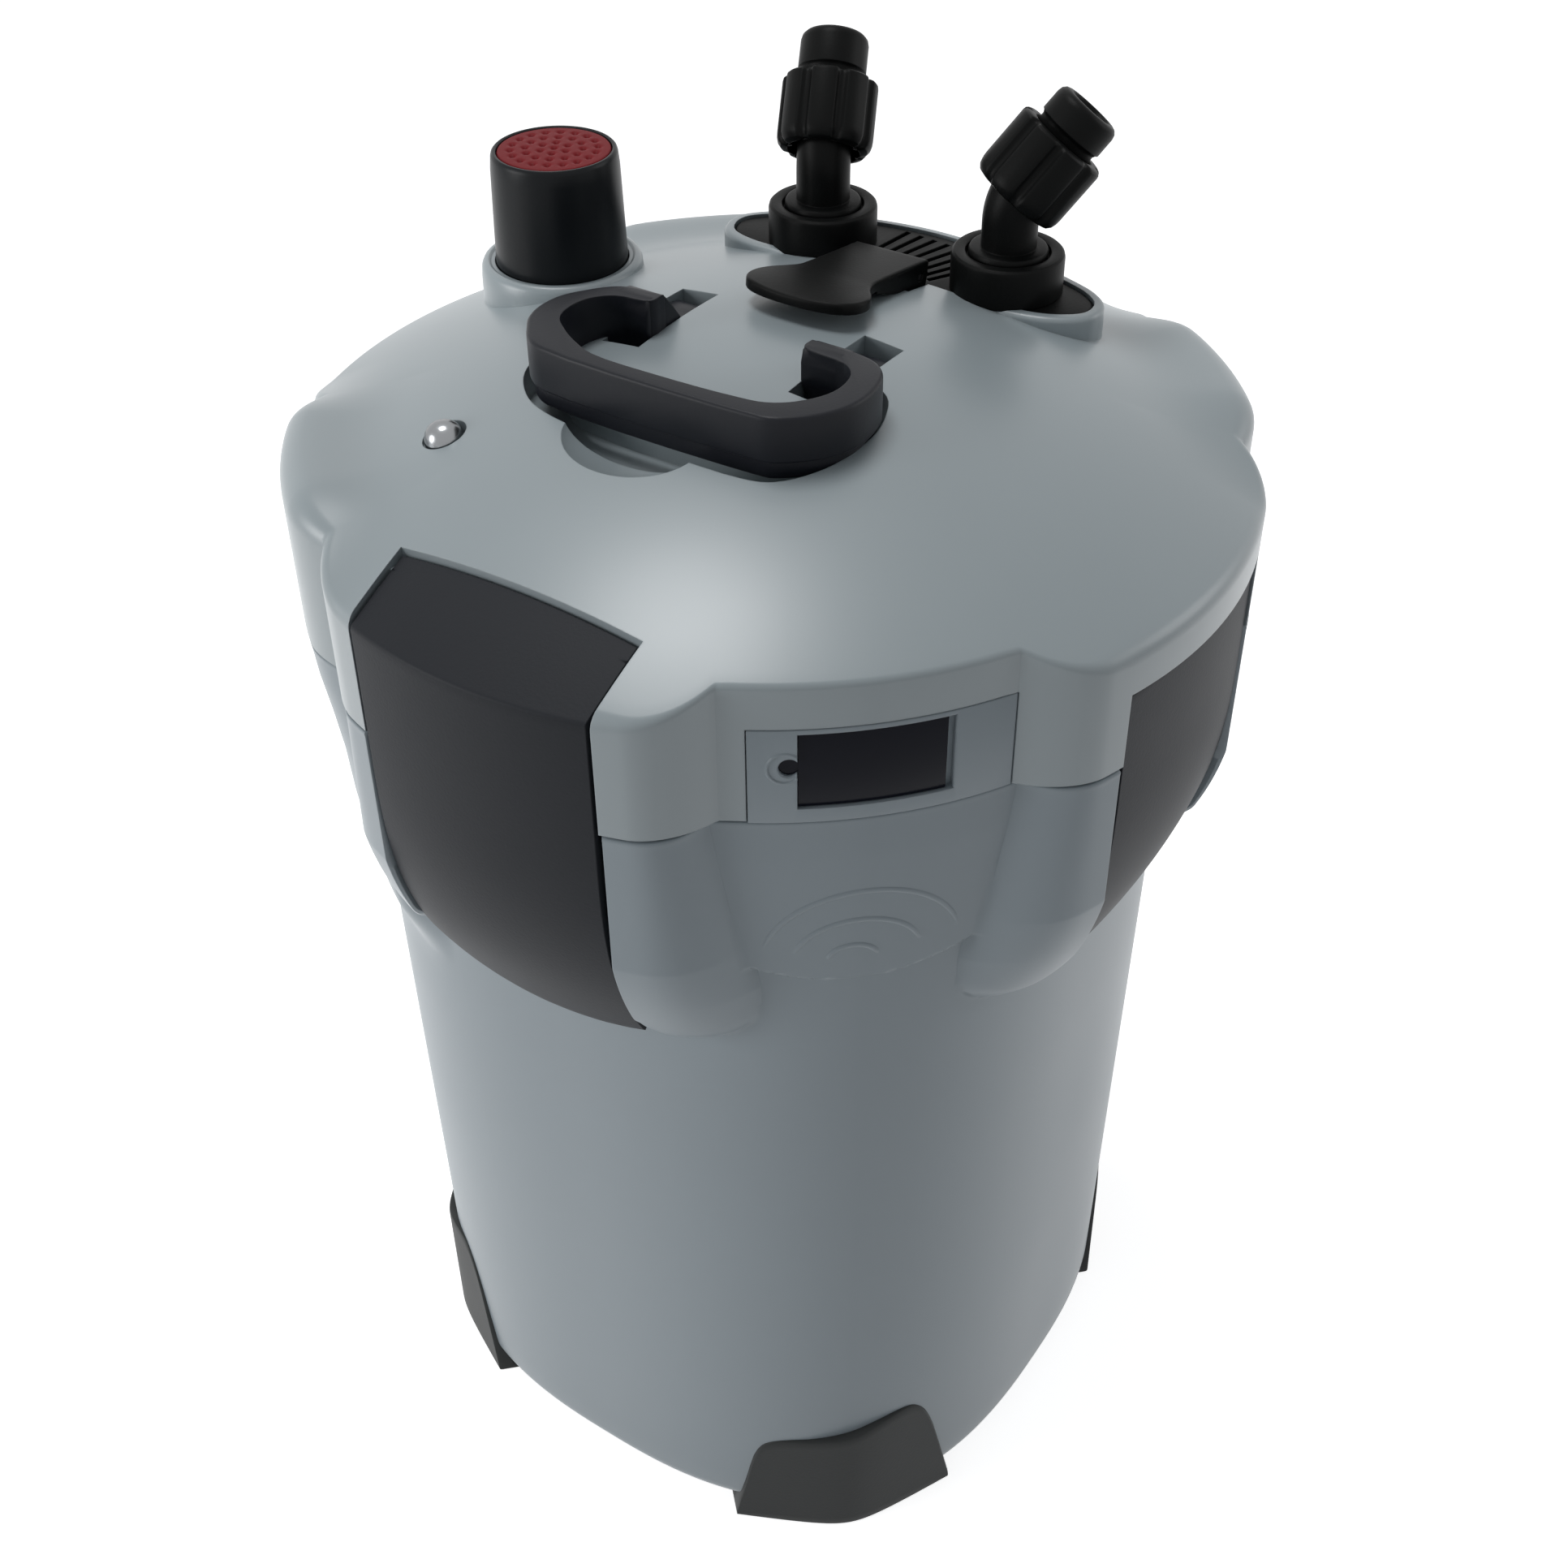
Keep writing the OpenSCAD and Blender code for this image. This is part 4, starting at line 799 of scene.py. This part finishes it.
def latch_solid(front, inner):
    """The latch's outer form, or the form of its hollow."""
    half = LATCH_HALF - LATCH_T if inner else LATCH_HALF
    columns = [[(x, y, z) for x, z in latch_section(front, y, inner)] for y in np.linspace(-half, half, 39)]
    return new_object("latch", *loft(columns))


def make_latch(side, k):
    """A hollow clamp with its knuckle, notched round the barrel's ears. The side ones have a catch."""
    front = side == "front"
    latch = combine(latch_solid(front, False), [latch_solid(front, True)])
    x, z = PIVOT
    combine(latch, [rod("knuckle", KNUCKLE_R, (x, -KNUCKLE, z), (x, KNUCKLE, z), 32)], "UNION")
    combine(latch, [box("cut", 100, 120.9, s * KNUCKLE, s * (PIN_EAR[1] + 0.6), 238, 246.6) for s in (-1, 1)])
    if not front:
        combine(latch, [box("catch", 122.0, 134.6, -28, 28, 333.5, 336.5)], "UNION")
    latch.name = "latch_" + side + "_shell"
    return turn_about_z(latch, 90 * k)


# ---------- handle ----------
def make_handle():
    """The open loop with its two stepped legs, and an inset dark lip under the loop that reaches down into
    the trough.
    """
    loop = prism("handle_loop", curve(LOOP_OUT, 5), HANDLE_LOW, HANDLE_TOP, top=1.1, bottom=0.7)
    # The lip is partly the loop's own underside and partly a dark piece that stands in for the shade in the
    # trough: painted shade.
    rim = prism("rim", inset(curve(LOOP_OUT, 5), 1.2), HANDLE_LOW - 5, HANDLE_LOW + 1, bottom=0.8)
    combine(loop, [rim], "UNION")
    combine(loop, [prism("cut", curve(LOOP_IN, 4), 370, 410)])
    leg = [(-18, 387.4), (-12.5, 386.6), (-2, 380.6), (8, 377.2), (11.6, 378.6), (13, 382), (11.6, 385.6),
           (8, 387), (-1.5, 387.2), (-3.5, 390), (-10.5, 398.8), (-12.5, 399.6), (-18, 399.6)]
    for x in LEGS:
        side = on_side(prism("leg", curve(leg, 3), x - LEG_HALF, x + LEG_HALF, top=0.7, bottom=0.7))
        combine(loop, [side], "UNION")
    combine(loop, [rod("cut", 2.05, (-60, 8, 382), (60, 8, 382), 40)])
    return loop


# ---------- priming knob ----------
def make_knob():
    """The push knob: hollow from below, with a rim round its cap."""
    profile = [(0.05, 410), (17.4, 410), (17.4, 354.5), (19.6, 354.5), (20.0, 355), (20.0, 383), (19.1, 413),
               (18.75, 416.6), (18.5, 417.5), (18.0, 418), (17.5, 418), (17.15, 417.8), (17.0, 417.2),
               (17.0, 415.9)]
    return move(turned("priming_knob_shell", profile, 128), *KNOB)


def make_cap():
    """The red disc, pressed full of small dimples."""
    radius, top, pitch, count = 16.8, 417.85, 4.3, 160
    rows = [(0.0, 0.0)]
    for n in (1, 2, 3):
        for i in range(6 * n):
            a = 2 * pi * i / (6 * n)
            rows.append((pitch * n * cos(a), pitch * n * sin(a)))
    dimples = np.array(rows)
    rings = [circle(r, z, count) for r, z in ((radius, 415.9), (radius, 417.4), (16.5, 417.8))]
    for r in np.linspace(16.1, 0.15, 52):
        ring = []
        for x, y, _ in circle(r, 0, count):
            near = ((dimples - (x, y)) ** 2).sum(1).min()
            dip = 1.1 * exp(-near / 0.75)
            ring.append((x, y, top + 0.25 * (1 - (r / radius) ** 2) - dip))
        rings.append(ring)
    return move(new_object("priming_cap_disc", *loft(rings)), *KNOB)


def make_spring():
    """The coil under the knob's roof, as high as the CAD spring, with flat ends."""
    wire, coil_r, turns = 0.9, 9.0, 5.5
    (_, _, low), (_, _, high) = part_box("priming_spring")
    low, high = low / MM + wire, high / MM - wire
    rings = []
    for u in np.linspace(0, 1, 240):
        a = 2 * pi * turns * u
        # the middle half of the smooth step, stretched to run from 0 to 1
        rise = ease(unit((u - 0.08) / 0.84) * 0.5 + 0.25) * 16 / 11 - 5 / 22
        z = low + (high - low) * unit(rise)
        ring = []
        for b in around(12):
            r = coil_r + wire * cos(b)
            ring.append((r * cos(a), r * sin(a), z + wire * sin(b)))
        rings.append(ring)
    return move(new_object("priming_spring_coil", *loft(rings)), *KNOB)


# ---------- cover screw and cable gland ----------
def make_screw():
    """The chrome screw: a short shank under a domed head."""
    profile = [(2.0, 362), (2.0, 372.9), (5.1, 372.9), (5.5, 374.0), (5.55, 375.4), (5.25, 377.0),
               (4.55, 378.4), (3.5, 379.4), (2.2, 380.1), (0.4, 380.4)]
    return move(turned("cover_screw_head", profile, 64), *SCREW)


def make_gland():
    """The lead's entry: a six-sided nut and a ribbed, tapered sleeve."""
    bore = 3.6
    sleeve = [(bore, 0), (5, 0), (5, 15.4)]
    for i in range(4):
        along = 15.8 + 2.1 * i
        r = 6.0 - 0.33 * i
        sleeve += [(r, along), (r, along + 1.3), (r - 0.7, along + 1.5), (r - 0.7, along + 1.9)]
    sleeve += [(4.6, 24.2), (4.3, 24.5), (bore, 24.5)]
    body = turned("cable_gland_sleeve", sleeve, 48, closed=True)
    nut = prism("nut", [(x, y) for x, y, _ in circle(8, 0, 6)], 12.1, 16, top=0.6, bottom=0.6)
    combine(nut, [rod("cut", bore, (0, 0, 10), (0, 0, 20), 48)])
    combine(body, [nut], "UNION")
    body.data.transform(rotation(135, "Z") @ shift(CORNER_R - 11.8, 0, 338) @ rotation(90, "Y"))
    return body


# ---------- valve block ----------
# Place beside the middle of the two lugs that hold the lever's pin
LUG_X = 4.4


def make_plate():
    """The black plate with its tongue, fanned grooves and the lugs of the lever's pin."""
    low, lug_r, lug_half = 376.5, 3.4, 1.2
    y, z = HINGE
    plate = prism("valve_block_plate", curve(PLATE, 5), low, PLATE_Z, top=0.9)
    tongue = prism("tongue", [(-13.2, 51), (13.2, 51), (13.2, 68), (-13.2, 68)], low, PLATE_Z - 0.3, top=0.4)
    combine(plate, [tongue], "UNION")
    cuts = []
    for i in range(8):
        groove = box("cut", -0.95, 0.95, -13, 13, PLATE_Z - 1.6, PLATE_Z + 1, -6 - 3.2 * i)
        cuts.append(move(groove, -13.6 + 4.3 * i, 81.5 - 0.35 * i))
    cuts += [rod("cut", PORT_R, (*port, 370), (*port, 390), 64) for port in PORTS.values()]
    cuts.append(box("cut", -3, 3, y - 7.4, y + 10, 370, 400))
    combine(plate, cuts)
    for s in (-1, 1):
        x0, x1 = s * LUG_X - lug_half, s * LUG_X + lug_half
        lug = rod("lug", lug_r, (x0, y, z), (x1, y, z), 40)
        combine(plate, [lug, box("foot", x0, x1, y - lug_r, y + lug_r, 380, z)], "UNION")
    return plate


def make_tube(side):
    """A port tube under the plate, wider inside where the valve's ball turns."""
    profile = [(12.5, 344.8), (12.5, 376.6), (PORT_R, 376.6), (PORT_R, 368.6), (10.9, 366), (10.9, 348),
               (8.2, 345.4), (8.2, 344.8)]
    return move(turned("port_tube_" + side, profile, 64, closed=True), *PORTS[side])


def make_collar(side):
    """The socket round a port, in which the elbow turns."""
    profile = [(16.7, 383.1), (16.7, 393.3), (16.45, 394.3), (15.8, 394.9), (15.0, 395.0), (13.2, 395.0),
               (12.6, 394.7), (12.3, 394.0), (12.3, 392.6), (8.35, 392.6), (8.35, 383.1)]
    return move(turned("collar_" + side + "_ring", profile, 96, closed=True), *PORTS[side])


def make_lever():
    """The paddle with a dish for the thumb, its side cheeks and the knuckles on the pin."""
    y0, z0 = HINGE
    outline = [(-12.4, 3.4), (-12.4, -24), (-12.8, -28), (-14.8, -31.6), (-17.6, -36), (-19.1, -41),
               (-18.4, -46), (-15.0, -50), (-8.6, -52.3), (0, -53.0), (8.6, -52.3), (15.2, -50), (18.6, -46),
               (19.2, -41), (17.4, -36.6), (14.6, -32.6), (13.0, -29), (12.4, -25), (12.4, 3.4)]
    top = 4.4
    paddle = prism("valve_lever_paddle", curve(outline, 5, closed=False), top - 3.4, top, top=0.9, bottom=0.7)
    for v in paddle.data.vertices:
        x, y = v.co.x / MM, v.co.y / MM
        off_centre = (x / 17) ** 2 + ((y + 42) / 13) ** 2
        if y < -26 and off_centre < 1 and v.co.z > (top - 1.2) * MM:
            v.co.z -= 0.9 * (1 - off_centre) * MM
    cheek = [(3.0, -3.6), (3.4, 0), (3.4, top - 1), (-25, top - 1), (-25, 0.6), (-22, 0.2), (-5, -3.6)]
    cheeks = [prism("cheek", cheek[::-1], x - 1.1, x + 1.1, top=0.3, bottom=0.3) for x in (-11.3, 11.3)]
    combine(paddle, [on_side(part) for part in cheeks], "UNION")
    paddle.data.transform(shift(0, y0, z0) @ rotation(-8, "X"))
    for s in (-1, 1):
        near, far = s * 6.0, s * 12.2
        knuckle = rod("knuckle", 4.2, (near, y0, z0), (far, y0, z0), 48)
        block = box("block", near, far, y0 - 4.2, y0 + 3.4, z0, z0 + 3)
        combine(paddle, [knuckle, block], "UNION")
    slots = [box("cut", x - 1.6, x + 1.6, y0 - 4.4, y0 + 6, z0 - 1, z0 + 3.6) for x in (-LUG_X, LUG_X)]
    slots.append(rod("cut", 1.55, (-20, y0, z0), (20, y0, z0), 32))
    return combine(paddle, slots)


# ---------- hose connectors ----------
def tube_along(name, centres, r_out, r_in):
    """A bent pipe in the XZ plane through (x, z) centres, with a wall."""
    p = np.array(centres, float)
    along = np.gradient(p, axis=0)
    along /= np.linalg.norm(along, axis=1)[:, None]
    rings = []
    for radius, order in ((r_out, range(len(p))), (r_in, reversed(range(len(p))))):
        for i in order:
            (x, z), (dx, dz) = p[i], along[i]
            rings.append([(x + u * dz, v, z - u * dx) for u, v, _ in circle(radius, 0, 56)])
    rings.append(rings[0])
    return new_object(name, *loft(rings, caps=False))


def make_elbow(side):
    """A pipe that stands in its collar, bends towards the hose and ends inside the nut."""
    bend_r = 17.0
    reach = bend_r * tan(radians(BEND / 2))
    centres = [(0, z) for z in np.linspace(370.5, BEND_Z - reach, 8)]
    for a in np.linspace(0, radians(BEND), 12)[1:]:
        centres.append((bend_r * (1 - cos(a)), BEND_Z - reach + bend_r * sin(a)))
    x, z = centres[-1]
    dx, dz = sin(radians(BEND)), cos(radians(BEND))
    centres += [(x + d * dx, z + d * dz) for d in (1.5, 3.0, 4.5, 5.5)]
    pipe = tube_along("elbow_" + side + "_pipe", centres, 8.2, 6.0)
    rim = [(7.6, 392.8), (11.7, 392.8), (11.7, 395.2), (11.3, 395.9), (10.6, 396.2), (7.6, 396.2)]
    combine(pipe, [turned("flange", rim, 72, closed=True)], "UNION")
    return move(turn_about_z(pipe, ARM[side]), *PORTS[side])


def make_nut(side):
    """A union nut with eight broad lands and shallow grooves between them."""
    lands, count = 8, 160

    def fluted(r, t, z):
        wave = 0.5 + 0.5 * cos(lands * t)
        r = r - 1.35 * (1 - ease(wave / 0.28)) - 0.25 * (1 - wave)
        return (r * cos(t), r * sin(t), z)

    outer = [(11.5, 0.4), (13.2, 0.9), (14.1, 2.0), (14.5, 3.4), (14.6, 5), (14.55, 20.2), (14.4, 21.0),
             (13.9, 21.5), (13.2, 21.8)]
    bore = [(10.6, 21.8), (10.5, 21.6), (10.5, 19.2), (11.2, 19.0), (11.2, 1.0), (11.0, 0.4)]
    rings = [[fluted(r, t, z) for t in around(count)] for r, z in outer]
    rings += [circle(r, z, count) for r, z in bore]
    rings.append(rings[0])
    return on_arm(new_object("union_nut_" + side + "_ribbed", *loft(rings, caps=False)), side)


def make_tail(side):
    """The tapered end on which the hose is pushed, with a low ring at its foot."""
    end = TAIL_END[side]
    profile = [(6.2, 12.3), (10.9, 12.3), (10.9, 18.6), (9.5, 19.0), (9.4, 23.4), (9.8, 24.2), (10.35, 24.6),
               (10.3, end - 2.6), (9.95, end - 1.2), (9.1, end - 0.3), (8.2, end), (7.0, end),
               (6.4, end - 0.6), (6.2, end - 1.4)]
    return on_arm(turned("hose_tail_" + side + "_taper", profile, 72, closed=True), side)


# ---------- materials ----------
def node(tree, kind, inputs, **settings):
    """A shader node with its settings, and with each input fed by a constant or by another node's output."""
    made = tree.nodes.new("ShaderNode" + kind)
    for name, value in settings.items():
        setattr(made, name, value)
    feed(tree, made, inputs)
    return made


def feed(tree, made, inputs):
    """Sets a node's inputs to constants, or links other nodes' outputs to them."""
    for name, source in inputs.items():
        if isinstance(source, bpy.types.NodeSocket):
            tree.links.new(source, made.inputs[name])
        else:
            made.inputs[name].default_value = source


def blend(tree, factor, low, high):
    """A mix of two colours. Each is four numbers or an output."""
    return node(tree, "Mix", {0: factor, 6: low, 7: high}, data_type="RGBA").outputs[2]


def shade(colour, share):
    """A colour made darker or lighter by a share of itself, with full alpha."""
    return (*[min(1, c * share) for c in colour], 1)


def material(name, colour, mottle, cloud_scale, grain, scale, soften):
    """What all finishes share: cloudy colour, fine grain and softened edges, soften being a radius.

    Returns the material, its tree and shader, the place in the object, both noises, the colour and the bump.
    """
    mat = bpy.data.materials.new(name)
    mat.use_nodes = True
    tree = mat.node_tree
    tree.nodes.clear()
    place_at = node(tree, "TexCoord", {}).outputs["Object"]
    cloud = node(tree, "TexNoise", {"Vector": place_at, "Scale": cloud_scale, "Detail": 5.0})
    fine = node(tree, "TexNoise", {"Vector": place_at, "Scale": scale, "Detail": 3.0})
    base = blend(tree, cloud.outputs["Fac"], shade(colour, 1 - mottle), shade(colour, 1 + mottle))
    bump = node(tree, "Bump", {"Strength": grain, "Distance": 0.0004, "Height": fine.outputs["Fac"]})
    if soften:
        edge = node(tree, "Bevel", {"Radius": soften * MM}, samples=4)
        feed(tree, bump, {"Normal": edge.outputs["Normal"]})
    shader = node(tree, "BsdfPrincipled", {"Base Color": base, "Normal": bump.outputs["Normal"]})
    node(tree, "OutputMaterial", {"Surface": shader.outputs["BSDF"]})
    return mat, tree, shader, place_at, cloud, fine, base, bump


def around_value(tree, noise, value, spread, least=0.0):
    """A value that a noise moves up and down by a spread."""
    limits = {"To Min": max(least, value - spread), "To Max": value + spread}
    return node(tree, "MapRange", {"Value": noise.outputs["Fac"], **limits}).outputs["Result"]


def plastic(name, colour, roughness, grain, scale, mottle, coat=0.0, shine=0.5, soften=0.5):
    """Moulded plastic: faint cloudy colour, a fine grain and gloss that varies a little."""
    mat, tree, shader, _, cloud, _, _, _ = material(name, colour, mottle, 18.0, grain, scale, soften)
    feed(tree, shader, {"Roughness": around_value(tree, cloud, roughness, 0.05), "Specular IOR Level": shine,
                        "Coat Weight": coat, "Coat Roughness": 0.3})
    return mat


def metal(name, colour, roughness, stretch=(1, 1, 1)):
    """Bare metal with fine brushing or turning marks."""
    mat, tree, shader, place_at, _, fine, _, _ = material(name, colour, 0.06, 60.0, 0.05, 700.0, 0.15)
    mapping = node(tree, "Mapping", {"Vector": place_at, "Scale": stretch})
    feed(tree, fine, {"Vector": mapping.outputs["Vector"]})
    feed(tree, shader, {"Metallic": 1.0, "Roughness": around_value(tree, fine, roughness, 0.06, 0.03)})
    return mat


def sponge(name, colour, cell, depth):
    """Open foam or fibre: pores pressed into a rough surface, their colour darkened as painted shade in the
    hollows.
    """
    mat, tree, shader, place_at, _, _, base, bump = material(name, colour, 0.12, 40.0, 1.0, 500.0, 0.0)
    pores = node(tree, "TexVoronoi", {"Vector": place_at, "Scale": cell}).outputs["Distance"]
    feed(tree, bump, {"Height": pores, "Distance": depth})
    # The colour darkens towards each pore's middle: painted shade in the hollows.
    spread = node(tree, "MapRange", {"Value": pores, "From Max": 0.5}).outputs["Result"]
    feed(tree, shader, {"Base Color": blend(tree, spread, shade(colour, 0.35), base), "Roughness": 0.95})
    return mat


def banded(name, colour, other, pitch, roughness, metallic=0.0):
    """Layers or windings: fine bands of two tones across Z."""
    mat, tree, shader, place_at, _, _, base, bump = material(name, colour, 0.06, 50.0, 0.6, 700.0, 0.1)
    look = {"Vector": place_at, "Scale": 1 / (pitch * MM * 20), "Distortion": 0.2}
    bands = node(tree, "TexWave", look, bands_direction="Z").outputs["Fac"]
    feed(tree, bump, {"Height": bands})
    feed(tree, shader, {"Base Color": blend(tree, bands, shade(other, 1), base), "Roughness": roughness,
                        "Metallic": metallic})
    return mat


def srgb(r, g, b):
    """A colour given in 0 to 255 screen values."""
    return tuple(((c / 255 + 0.055) / 1.055) ** 2.4 if c > 10 else c / 255 / 12.92 for c in (r, g, b))


# For plastic: roughness, grain, its scale, mottle, coat, shine and, where it isn't 0.5, the edges' radius
FINISH = {
    "shell_grey": plastic("shell_grey_plastic", srgb(144, 154, 160), 0.34, 0.02, 900, 0.03, 0.05, 0.3),
    "cover_gloss": plastic("cover_grey_gloss", srgb(142, 152, 156), 0.36, 0.015, 900, 0.03, 0.4, 0.5),
    "foot_charcoal": plastic("foot_charcoal_plastic", srgb(50, 52, 52), 0.5, 0.12, 1100, 0.04, 0.0, 0.15),
    "latch_charcoal": plastic("latch_charcoal_plastic", srgb(38, 40, 44), 0.5, 0.12, 1100, 0.04, 0.0, 0.12),
    "handle_grey": plastic("handle_grey_plastic", srgb(22, 24, 30), 0.4, 0.06, 1000, 0.05, 0.0, 0.2),
    "knob_grey": plastic("knob_grey_plastic", srgb(16, 19, 22), 0.34, 0.04, 1000, 0.05, 0.0, 0.15),
    "cap_red": plastic("cap_red_plastic", srgb(112, 20, 26), 0.5, 0.06, 900, 0.05, 0.0, 0.1),
    "black_plastic": plastic("black_valve_plastic", srgb(9, 10, 10), 0.42, 0.08, 1100, 0.06, 0.0, 0.08),
    "window_navy": plastic("window_navy_gloss", srgb(18, 20, 30), 0.18, 0.01, 900, 0.05, 0.0, 0.08, 0.2),
    "screw_chrome": metal("screw_chrome", (0.27, 0.28, 0.29), 0.25),
    "pin_steel": metal("pin_steel", (0.45, 0.46, 0.48), 0.28, (0.2, 6, 6)),
    "seal_rubber": plastic("seal_rubber", srgb(20, 20, 20), 0.7, 0.2, 1500, 0.08, 0.0, 0.2),
    "inner_plastic": plastic("inner_grey_plastic", srgb(70, 74, 78), 0.45, 0.06, 900, 0.05, 0.0, 0.3),
    "base_plastic": plastic("base_charcoal_plastic", srgb(58, 62, 64), 0.45, 0.06, 900, 0.05, 0.0, 0.3),
    "white_plastic": plastic("white_inner_plastic", srgb(205, 205, 198), 0.4, 0.04, 900, 0.03, 0.0, 0.4),
    "ceramic": plastic("ceramic_shaft_glaze", srgb(222, 218, 208), 0.5, 0.2, 700, 0.08, 0.0, 0.4),
    "blue_sponge": sponge("blue_sponge_foam", srgb(40, 92, 150), 420, 0.0015),
    "pale_sponge": sponge("pale_sponge_foam", srgb(196, 194, 176), 700, 0.0010),
    "floss": sponge("white_floss_fibre", srgb(226, 228, 228), 1100, 0.0008),
    "core_steel": banded("core_laminations", srgb(96, 98, 102), srgb(52, 54, 58), 0.5, 0.4, 0.8),
    "coil_copper": banded("coil_windings", srgb(170, 92, 44), srgb(96, 46, 20), 0.8, 0.35, 0.5),
    "magnet": plastic("ferrite_magnet", srgb(48, 48, 50), 0.55, 0.15, 1200, 0.08, 0.0, 0.3),
}


def dress(obj, finish):
    obj.data.materials.clear()
    obj.data.materials.append(FINISH[finish])


def place(obj, body, slot, *nodes, finish=None):
    """Rides a piece on its body, dresses it in the finish named or else in its slot's finish, and hides the
    CAD nodes it stands for.
    """
    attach(obj, body)
    dress(obj, finish or slot)
    if nodes:
        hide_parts(*nodes)


place(make_cover(), "housing", "shell_grey", "head_cover", finish="cover_gloss")
place(make_barrel(), "housing", "shell_grey", "barrel")
for k, where in enumerate(FOOT_NAMES):
    place(make_foot(k), "housing", "foot_charcoal", "foot_" + where)
for k, side in ((3, "front"), (0, "right"), (1, "back"), (2, "left")):
    place(make_latch(side, k), "latch_" + side, "latch_charcoal", "latch_" + side)
place(make_panel(), "housing", "shell_grey", "badge_panel")
place(make_window(), "housing", "window_navy", "front_window")
place(make_handle(), "handle", "handle_grey", "handle")
place(make_knob(), "primer", "knob_grey", "priming_knob")
place(make_cap(), "primer", "cap_red", "priming_cap")
spring = make_spring()
place(spring, "housing", "pin_steel", "priming_spring")
place(make_screw(), "housing", "screw_chrome", "cover_screw")
place(make_gland(), "housing", "black_plastic", "cable_gland")
place(make_plate(), "housing", "black_plastic", "valve_block")
for side in PORTS:
    place(make_tube(side), "housing", "black_plastic")
place(make_lever(), "lever", "black_plastic", "valve_lever")
for side in PORTS:
    place(make_collar(side), "housing", "black_plastic", "collar_" + side)
    place(make_elbow(side), "elbow_" + side, "black_plastic", "elbow_" + side)
    place(make_nut(side), "union_nut_" + side, "black_plastic", "union_nut_" + side)
    place(make_tail(side), "elbow_" + side, "black_plastic", "hose_tail_" + side)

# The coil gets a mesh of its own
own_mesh(spring)

# Every CAD node that still shows gets the finish of its own slot
SLOTS = {row["node"]: row["material_slot"] for row in frame["record"]["subparts"]}
for name, obj in NODES.items():
    if not obj.hide_render:
        dress(obj, SLOTS[name])


# ---------- camera, light and floor ----------
# The camera fitted to the photo: where it stands in metres, its angles in degrees and its lens
EYE = (0.2893, -0.4231, 0.6408)
AZIMUTH, ELEVATION, ROLL = 34.07, 38.59, -0.43
LENS = 46.37
WORLD = 0.24
FLOOR_GLOW = 0.80


def make_camera():
    """The photo's camera. Its back vector points away from what it sees."""
    az, el, roll = radians(AZIMUTH), radians(ELEVATION), radians(ROLL)
    back = Vector((sin(az) * cos(el), -cos(az) * cos(el), sin(el)))
    right = Vector((cos(az), sin(az), 0))
    up = back.cross(right)
    x_axis = right * cos(roll) + up * sin(roll)
    y_axis = -right * sin(roll) + up * cos(roll)
    data = bpy.data.cameras.new("camera")
    data.lens = LENS
    data.sensor_width = 36
    data.clip_start = 0.02
    data.clip_end = 20
    cam = add_object("camera", data)
    facing = Matrix((x_axis, y_axis, back)).transposed().to_4x4()
    cam.matrix_world = Matrix.Translation(Vector(EYE)) @ facing
    bpy.context.scene.camera = cam


def lamp(name, where, target, size, power):
    """A round soft box aimed at a point."""
    data = bpy.data.lights.new(name, "AREA")
    data.shape = "DISK"
    data.size = size
    data.energy = power
    obj = add_object(name, data)
    obj.location = where
    obj.rotation_euler = (Vector(where) - Vector(target)).to_track_quat("Z", "Y").to_euler()


def background_rays(tree):
    """1 for camera, glossy and transmission rays, which see the background."""
    path = node(tree, "LightPath", {})
    total = path.outputs["Is Camera Ray"]
    for kind in ("Is Glossy Ray", "Is Transmission Ray"):
        both = {0: total, 1: path.outputs[kind]}
        total = node(tree, "Math", both, operation="ADD", use_clamp=True).outputs[0]
    return total


def make_world():
    """A white background over a dimmer, cooler light."""
    world = bpy.data.worlds.new("studio")
    bpy.context.scene.world = world
    world.use_nodes = True
    tree = world.node_tree
    tree.nodes.clear()
    seen = node(tree, "Background", {"Color": (1, 1, 1, 1)})
    light = node(tree, "Background", {"Color": (0.93, 0.96, 1, 1), "Strength": WORLD})
    mix = node(tree, "MixShader", {0: background_rays(tree), 1: light.outputs[0], 2: seen.outputs[0]})
    node(tree, "OutputWorld", {0: mix.outputs[0]})


def make_floor():
    """White paper that keeps the shadow: its own glow is seen by the camera and in reflections only."""
    far, z = 4000, -0.2
    corners = [(-far, -far, z), (far, -far, z), (far, far, z), (-far, far, z)]
    floor = new_object("floor", corners, [(0, 1, 2, 3)])
    mat = plastic("floor_paper", (0.8, 0.8, 0.8), 0.9, 0.02, 300, 0.01, shine=0.0)
    tree = mat.node_tree
    shader = next(n for n in tree.nodes if n.type == "BSDF_PRINCIPLED")
    out = next(n for n in tree.nodes if n.type == "OUTPUT_MATERIAL")
    shown = node(tree, "Math", {0: background_rays(tree), 1: FLOOR_GLOW}, operation="MULTIPLY")
    glow = node(tree, "Emission", {"Strength": shown.outputs[0]})
    add = node(tree, "AddShader", {0: shader.outputs[0], 1: glow.outputs[0]})
    feed(tree, out, {"Surface": add.outputs[0]})
    floor.data.materials.append(mat)


make_camera()
make_world()
make_floor()
lamp("left_box", (-1.0, -1.3, 0.65), (0, 0, 0.15), 0.9, 11)
lamp("right_box", (1.3, 1.1, 0.9), (0, 0, 0.2), 0.9, 4)
lamp("top_box", (-0.33, 0.02, 1.8), (0, 0, 0.3), 0.6, 10)
bpy.context.scene.view_settings.view_transform = "Standard"
